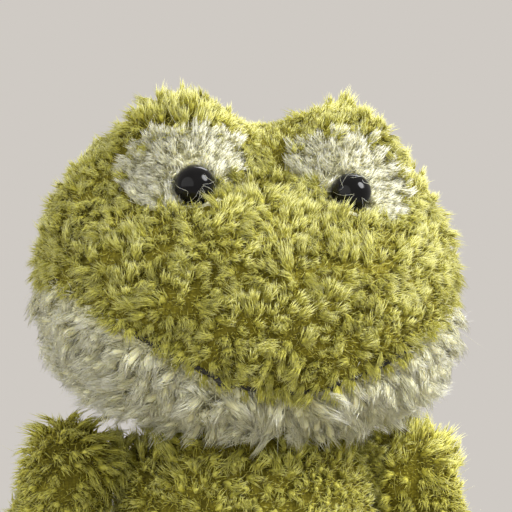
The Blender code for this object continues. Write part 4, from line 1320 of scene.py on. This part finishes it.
class FROG_OT_threads(bpy.types.Operator):
    """Make the mouth's twisted thread and the sewn rings at the joints"""
    bl_idname = "frog.threads"
    bl_label = "Threads"

    def execute(self, context):
        finish = materials()
        for index, (body, reach) in enumerate(SEAM_JOINTS):
            self.ring(body, f"{body}_seam", reach, finish, 1000 + 20 * index)
        self.mouth(finish)
        return {"FINISHED"}

    def ring(self, body, node, reach, finish, seed):
        """Whip stitches round a joint, with the pile that the thread gathers between the forms."""
        places, _ = vertex_arrays(frame["nodes"][node].data)
        centre = (places.min(axis=0) + places.max(axis=0)) / 2
        axes = np.linalg.svd(places - centre, full_matrices=False)[2]
        radius = np.linalg.norm((places - centre) @ axes[:2].T, axis=1).mean()
        girth = 2 * math.pi * radius

        def outward(turns):
            return axes[0] * np.cos(turns)[:, None] + axes[1] * np.sin(turns)[:, None]

        stitches = int(girth / STITCH_PITCH)
        turns = np.linspace(0, 2 * math.pi, stitches * STITCH_POINTS, endpoint=False)
        coil = turns * stitches
        line = centre + outward(turns) * (radius + STITCH_RISE * np.cos(coil))[:, None]
        line += axes[2] * (STITCH_RISE * np.sin(coil))[:, None]
        item = threads_of(node + "_stitch", [line], STITCH_RADIUS, True)
        give_material(item, finish["seam"])
        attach(item, body)
        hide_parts(node)

        draw = np.random.default_rng(seed)
        count = int(girth / GATHERED_SPACING) * 2
        turns = np.sort(draw.uniform(0, 2 * math.pi, count))
        tilt = draw.uniform(-0.7, 0.7, count)[:, None]
        way = outward(turns)
        normals = unit(way * np.cos(tilt) + axes[2] * np.sin(tilt))
        leans = draw.normal(0, 0.5, (count, 3)) + np.array((0, 0, -0.4))
        lengths = reach * draw.uniform(0.8, 1.15, count)
        counts = np.full(count, GATHERED_STRANDS)
        pile_pieces(node + "_pile", body, (centre + way * radius, normals, leans, lengths, counts),
                    SEAM_TUFT, 12 * MM, finish["green"], [node], seed, strays=0.0)

    def mouth(self, finish):
        """The mouth's thread, of twisted plies along the middle of its CAD node."""
        places, _ = vertex_arrays(frame["nodes"]["mouth_thread"].data)
        order = np.argsort(places[:, 0])
        rings = [places[group].mean(axis=0) for group in np.array_split(order, MOUTH_RINGS)]
        steps = np.linspace(0, MOUTH_RINGS - 1, MOUTH_POINTS)
        line = np.stack([np.interp(steps, range(MOUTH_RINGS), [r[k] for r in rings])
                         for k in range(3)], axis=-1)
        inward = unit(np.array(middle_of("head_stuffing")) - line)
        hidden = smooth_step(np.abs(line[:, 0] - MOUTH_SHOWN_AT), *MOUTH_SHOWN_EDGE)
        line += inward * (MOUTH_DEPTH + MOUTH_HIDDEN_DEPTH * hidden)[:, None]
        ahead = unit(np.gradient(line, axis=0))
        side = unit(np.cross(ahead, inward))
        up = np.cross(side, ahead)
        plies = []
        for ply in range(PLIES):
            turn = (steps * PLY_TURN + ply * 2 * math.pi / PLIES)[:, None]
            plies.append(line + (side * np.cos(turn) + up * np.sin(turn)) * PLY_REACH)
        item = threads_of("mouth_stitch", plies, PLY_RADIUS, False)
        give_material(item, finish["mouth"])
        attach(item, "head")
        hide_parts("mouth_thread")


LABEL_THICKNESS = 0.4 * MM
LABEL_BEVEL = 0.12 * MM
LABEL_TUCK = 4 * MM
LABEL_RIPPLE = 0.3 * MM
LABEL_CURL = 2.2 * MM


class FROG_OT_label(bpy.types.Operator):
    """Make the blank cloth label in the seam behind"""
    bl_idname = "frog.label"
    bl_label = "Label"

    def execute(self, context):
        finish = materials()
        low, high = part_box("care_label")
        width, _, length = high - low
        middle = (low + high) / 2
        deselect_all()
        bpy.ops.mesh.primitive_grid_add(x_subdivisions=14, y_subdivisions=20, size=1,
                                        location=(0, 0, 0))
        label = bpy.context.object
        label.name = "blank_label"
        for vert in label.data.vertices:
            # the grid runs from -0.5 to 0.5 both ways, with its sewn end at the top
            across, up = vert.co.x, vert.co.y
            hang = 0.5 - up
            tucked = smooth_step(up, 0.3, 0.5) * LABEL_TUCK
            ripple = LABEL_RIPPLE * math.sin(across * 7 + 1.0) * hang
            ripple += LABEL_CURL * hang ** 3 * (1 + across)
            vert.co = Vector((middle.x + across * width, middle.y - tucked + ripple,
                              middle.z + up * length))
        apply_modifier(label, "SOLIDIFY", thickness=LABEL_THICKNESS, offset=0)
        apply_modifier(label, "BEVEL", width=LABEL_BEVEL, segments=2, limit_method="ANGLE")
        label.data.shade_smooth()
        give_material(label, finish["label"])
        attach(label, "torso")
        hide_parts("care_label")
        return {"FINISHED"}


FILL_VOXEL = 2.2 * MM
FILL_INSET = 2.4 * MM
FILL_LUMP = 0.7 * MM


class FROG_OT_filling(bpy.types.Operator):
    """Make the fibre filling of each form and the bag of pellets in the seat"""
    bl_idname = "frog.filling"
    bl_label = "Filling"

    def execute(self, context):
        finish = materials()
        for body, nodes in frame["record"]["behaviour"]["bodies"].items():
            for node in nodes:
                if node.endswith("_stuffing"):
                    self.lumpy_copy(node, body, finish["fibre"], "fibre_stuffing", 5 * MM)
                elif node == "pellet_bag":
                    self.lumpy_copy(node, body, finish["bag"], "pellet_bag_cloth", 3 * MM)
        return {"FINISHED"}

    def lumpy_copy(self, node, body, material, slot, lump):
        """A soft, lumpy and slightly smaller copy of a CAD node."""
        item = joined_copy(f"{node}_fill", [node])
        apply_modifier(item, "REMESH", mode="VOXEL", voxel_size=FILL_VOXEL)
        keep_largest_shell(item)
        apply_modifier(item, "SMOOTH", factor=0.5, iterations=3)
        places, normals = vertex_arrays(item.data)
        inset = FILL_INSET + FILL_LUMP * noise_at(places, lump)
        set_places(item.data, places - normals * inset[:, None])
        item.data.shade_smooth()
        give_material(item, material)
        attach(item, body)
        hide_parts(node)


# Stage, camera and light

CAMERA_AZIMUTH = math.radians(-12.6)
CAMERA_DISTANCE = 420 * MM
CAMERA_ROLL = math.radians(2.1)
TO_CAMERA = Vector((math.sin(CAMERA_AZIMUTH), -math.cos(CAMERA_AZIMUTH), 0))
TO_THE_RIGHT = Vector((math.cos(CAMERA_AZIMUTH), math.sin(CAMERA_AZIMUTH), 0))
FRAME_PIXELS = 512
FOCAL_PIXELS = 1355
HEAD_PIXEL = (252.9, 261)
HEAD_PLACE = Vector((0, 0, 148.8 * MM))
BACKDROP = linear("#CFCAC4")
FLOOR_RADIUS = 6.0
# Distances from the middle between which the floor fades into the backdrop
FLOOR_FADE = (0.17, 0.36)
# Name, then places towards the camera, right and up from the head, diameter and watts
LAMPS = (
    ("window", 0.35, 0.75, 0.65, 0.55, 13.5),
    ("back_window", -0.7, 0.1, 0.75, 0.7, 9.5),
    ("fill", 0.8, -0.75, 0.05, 1.6, 7.5),
)


class FROG_OT_stage(bpy.types.Operator):
    """Set the floor, the soft studio light and the camera at the photograph's angle"""
    bl_idname = "frog.stage"
    bl_label = "Stage"

    def execute(self, context):
        self.floor()
        self.world(context.scene)
        self.lamps()
        self.camera(context.scene)
        context.scene.view_settings.view_transform = "Standard"
        return {"FINISHED"}

    def seen(self, tree):
        """1 for a ray from the camera, or one that a glossy or clear surface sends on."""
        path = add_node(tree, "ShaderNodeLightPath")
        direct = add_node(tree, "ShaderNodeMath", {"operation": "MAXIMUM"}, links={
            0: path.outputs["Is Camera Ray"], 1: path.outputs["Is Glossy Ray"]})
        return add_node(tree, "ShaderNodeMath", {"operation": "MAXIMUM"}, links={
            0: direct.outputs[0], 1: path.outputs["Is Transmission Ray"]}).outputs[0]

    def floor(self):
        """Matt paper that takes the frog's shadow and fades into the backdrop."""
        deselect_all()
        bpy.ops.mesh.primitive_circle_add(vertices=96, radius=FLOOR_RADIUS, fill_type="NGON",
                                          location=(0, 0, 0))
        floor = bpy.context.object
        floor.name = "floor"
        material, tree, shader = new_material("matt_paper_floor")
        place = add_node(tree, "ShaderNodeTexCoord")
        grain = add_node(tree, "ShaderNodeTexNoise", values={"Scale": 900.0, "Detail": 3.0},
                         links={"Vector": place.outputs["Object"]})
        tint = add_node(tree, "ShaderNodeMix", {"data_type": "RGBA"},
                        {6: linear("#A9A59E"), 7: linear("#AEAAA3")}, {0: grain.outputs[0]})
        set_sockets(tree, shader, {"Roughness": 0.9, "Specular IOR Level": 0.2},
                    {"Base Color": tint.outputs[2]})
        distance = add_node(tree, "ShaderNodeVectorMath", {"operation": "LENGTH"},
                            links={0: place.outputs["Object"]})
        fade = add_node(tree, "ShaderNodeMapRange", {"interpolation_type": "SMOOTHSTEP"},
                        {"From Min": FLOOR_FADE[0], "From Max": FLOOR_FADE[1]},
                        {"Value": distance.outputs[1]})
        share = add_node(tree, "ShaderNodeMath", {"operation": "MULTIPLY"},
                         links={0: fade.outputs[0], 1: self.seen(tree)})
        glow = add_node(tree, "ShaderNodeEmission", values={"Color": BACKDROP})
        mix = add_node(tree, "ShaderNodeMixShader", links={
            0: share.outputs[0], 1: shader.outputs[0], 2: glow.outputs[0]})
        set_sockets(tree, tree.nodes["Material Output"], links={"Surface": mix.outputs[0]})
        floor.data.materials.append(material)

    def world(self, scene):
        """Soft light from all round, with the backdrop's colour where the world is seen."""
        world = bpy.data.worlds.new("soft_room")
        world.use_nodes = True
        scene.world = world
        tree = world.node_tree
        light = tree.nodes["Background"]
        set_sockets(tree, light, {"Color": linear("#F2F1EE"), "Strength": 0.8})
        shown = add_node(tree, "ShaderNodeBackground", values={"Color": BACKDROP})
        mix = add_node(tree, "ShaderNodeMixShader", links={
            0: self.seen(tree), 1: light.outputs[0], 2: shown.outputs[0]})
        set_sockets(tree, tree.nodes["World Output"], links={"Surface": mix.outputs[0]})

    def lamps(self):
        """Round soft lamps, each turned to the head."""
        for name, ahead, beside, above, size, watts in LAMPS:
            data = bpy.data.lights.new(name, "AREA")
            data.shape = "DISK"
            data.size = size
            data.energy = watts
            lamp = bpy.data.objects.new(name, data)
            lamp.location = (HEAD_PLACE + TO_CAMERA * ahead + TO_THE_RIGHT * beside
                             + Vector((0, 0, above)))
            lamp.rotation_mode = "QUATERNION"
            lamp.rotation_quaternion = (lamp.location - HEAD_PLACE).to_track_quat("Z", "Y")
            bpy.context.scene.collection.objects.link(lamp)

    def camera(self, scene):
        """The photograph's view: level with the head, from its side and slightly rolled."""
        data = bpy.data.cameras.new("camera")
        camera = bpy.data.objects.new("camera", data)
        scene.collection.objects.link(camera)
        scene.camera = camera
        look = TO_CAMERA.to_track_quat("Z", "Y").to_matrix().to_4x4()
        place = Matrix.Translation(HEAD_PLACE + TO_CAMERA * CAMERA_DISTANCE)
        camera.matrix_world = place @ look @ Matrix.Rotation(CAMERA_ROLL, 4, "Z")
        data.sensor_width = 36
        data.lens = FOCAL_PIXELS * data.sensor_width / FRAME_PIXELS
        data.shift_x = (FRAME_PIXELS / 2 - HEAD_PIXEL[0]) / FRAME_PIXELS
        data.shift_y = (HEAD_PIXEL[1] - FRAME_PIXELS / 2) / FRAME_PIXELS
        data.clip_start = 10 * MM


class FROG_PT_panel(bpy.types.Panel):
    """The frog's sizes, colours and operators in the sidebar"""
    bl_label = "Plush frog"
    bl_idname = "FROG_PT_panel"
    bl_space_type = "VIEW_3D"
    bl_region_type = "UI"
    bl_category = "Plush frog"

    def draw(self, context):
        layout = self.layout
        for group in (context.scene.frog_sizes, context.scene.frog_colours):
            for name in group.__annotations__:
                layout.prop(group, name)
        for operator in OPERATORS:
            layout.operator(operator.bl_idname)


OPERATORS = (FROG_OT_head, FROG_OT_torso, FROG_OT_limbs, FROG_OT_eyes, FROG_OT_threads,
             FROG_OT_label, FROG_OT_filling, FROG_OT_stage)
CLASSES = (FrogSizes, FrogColours, *OPERATORS, FROG_PT_panel)


def register():
    for cls in CLASSES:
        bpy.utils.register_class(cls)
    bpy.types.Scene.frog_sizes = bpy.props.PointerProperty(type=FrogSizes)
    bpy.types.Scene.frog_colours = bpy.props.PointerProperty(type=FrogColours)


def unregister():
    del bpy.types.Scene.frog_sizes
    del bpy.types.Scene.frog_colours
    for cls in reversed(CLASSES):
        bpy.utils.unregister_class(cls)


def main():
    """Build the whole frog and its stage."""
    register()
    bpy.ops.frog.head()
    bpy.ops.frog.torso()
    bpy.ops.frog.limbs()
    bpy.ops.frog.eyes()
    bpy.ops.frog.threads()
    bpy.ops.frog.label()
    bpy.ops.frog.filling()
    bpy.ops.frog.stage()


if __name__ == "__main__":
    main()
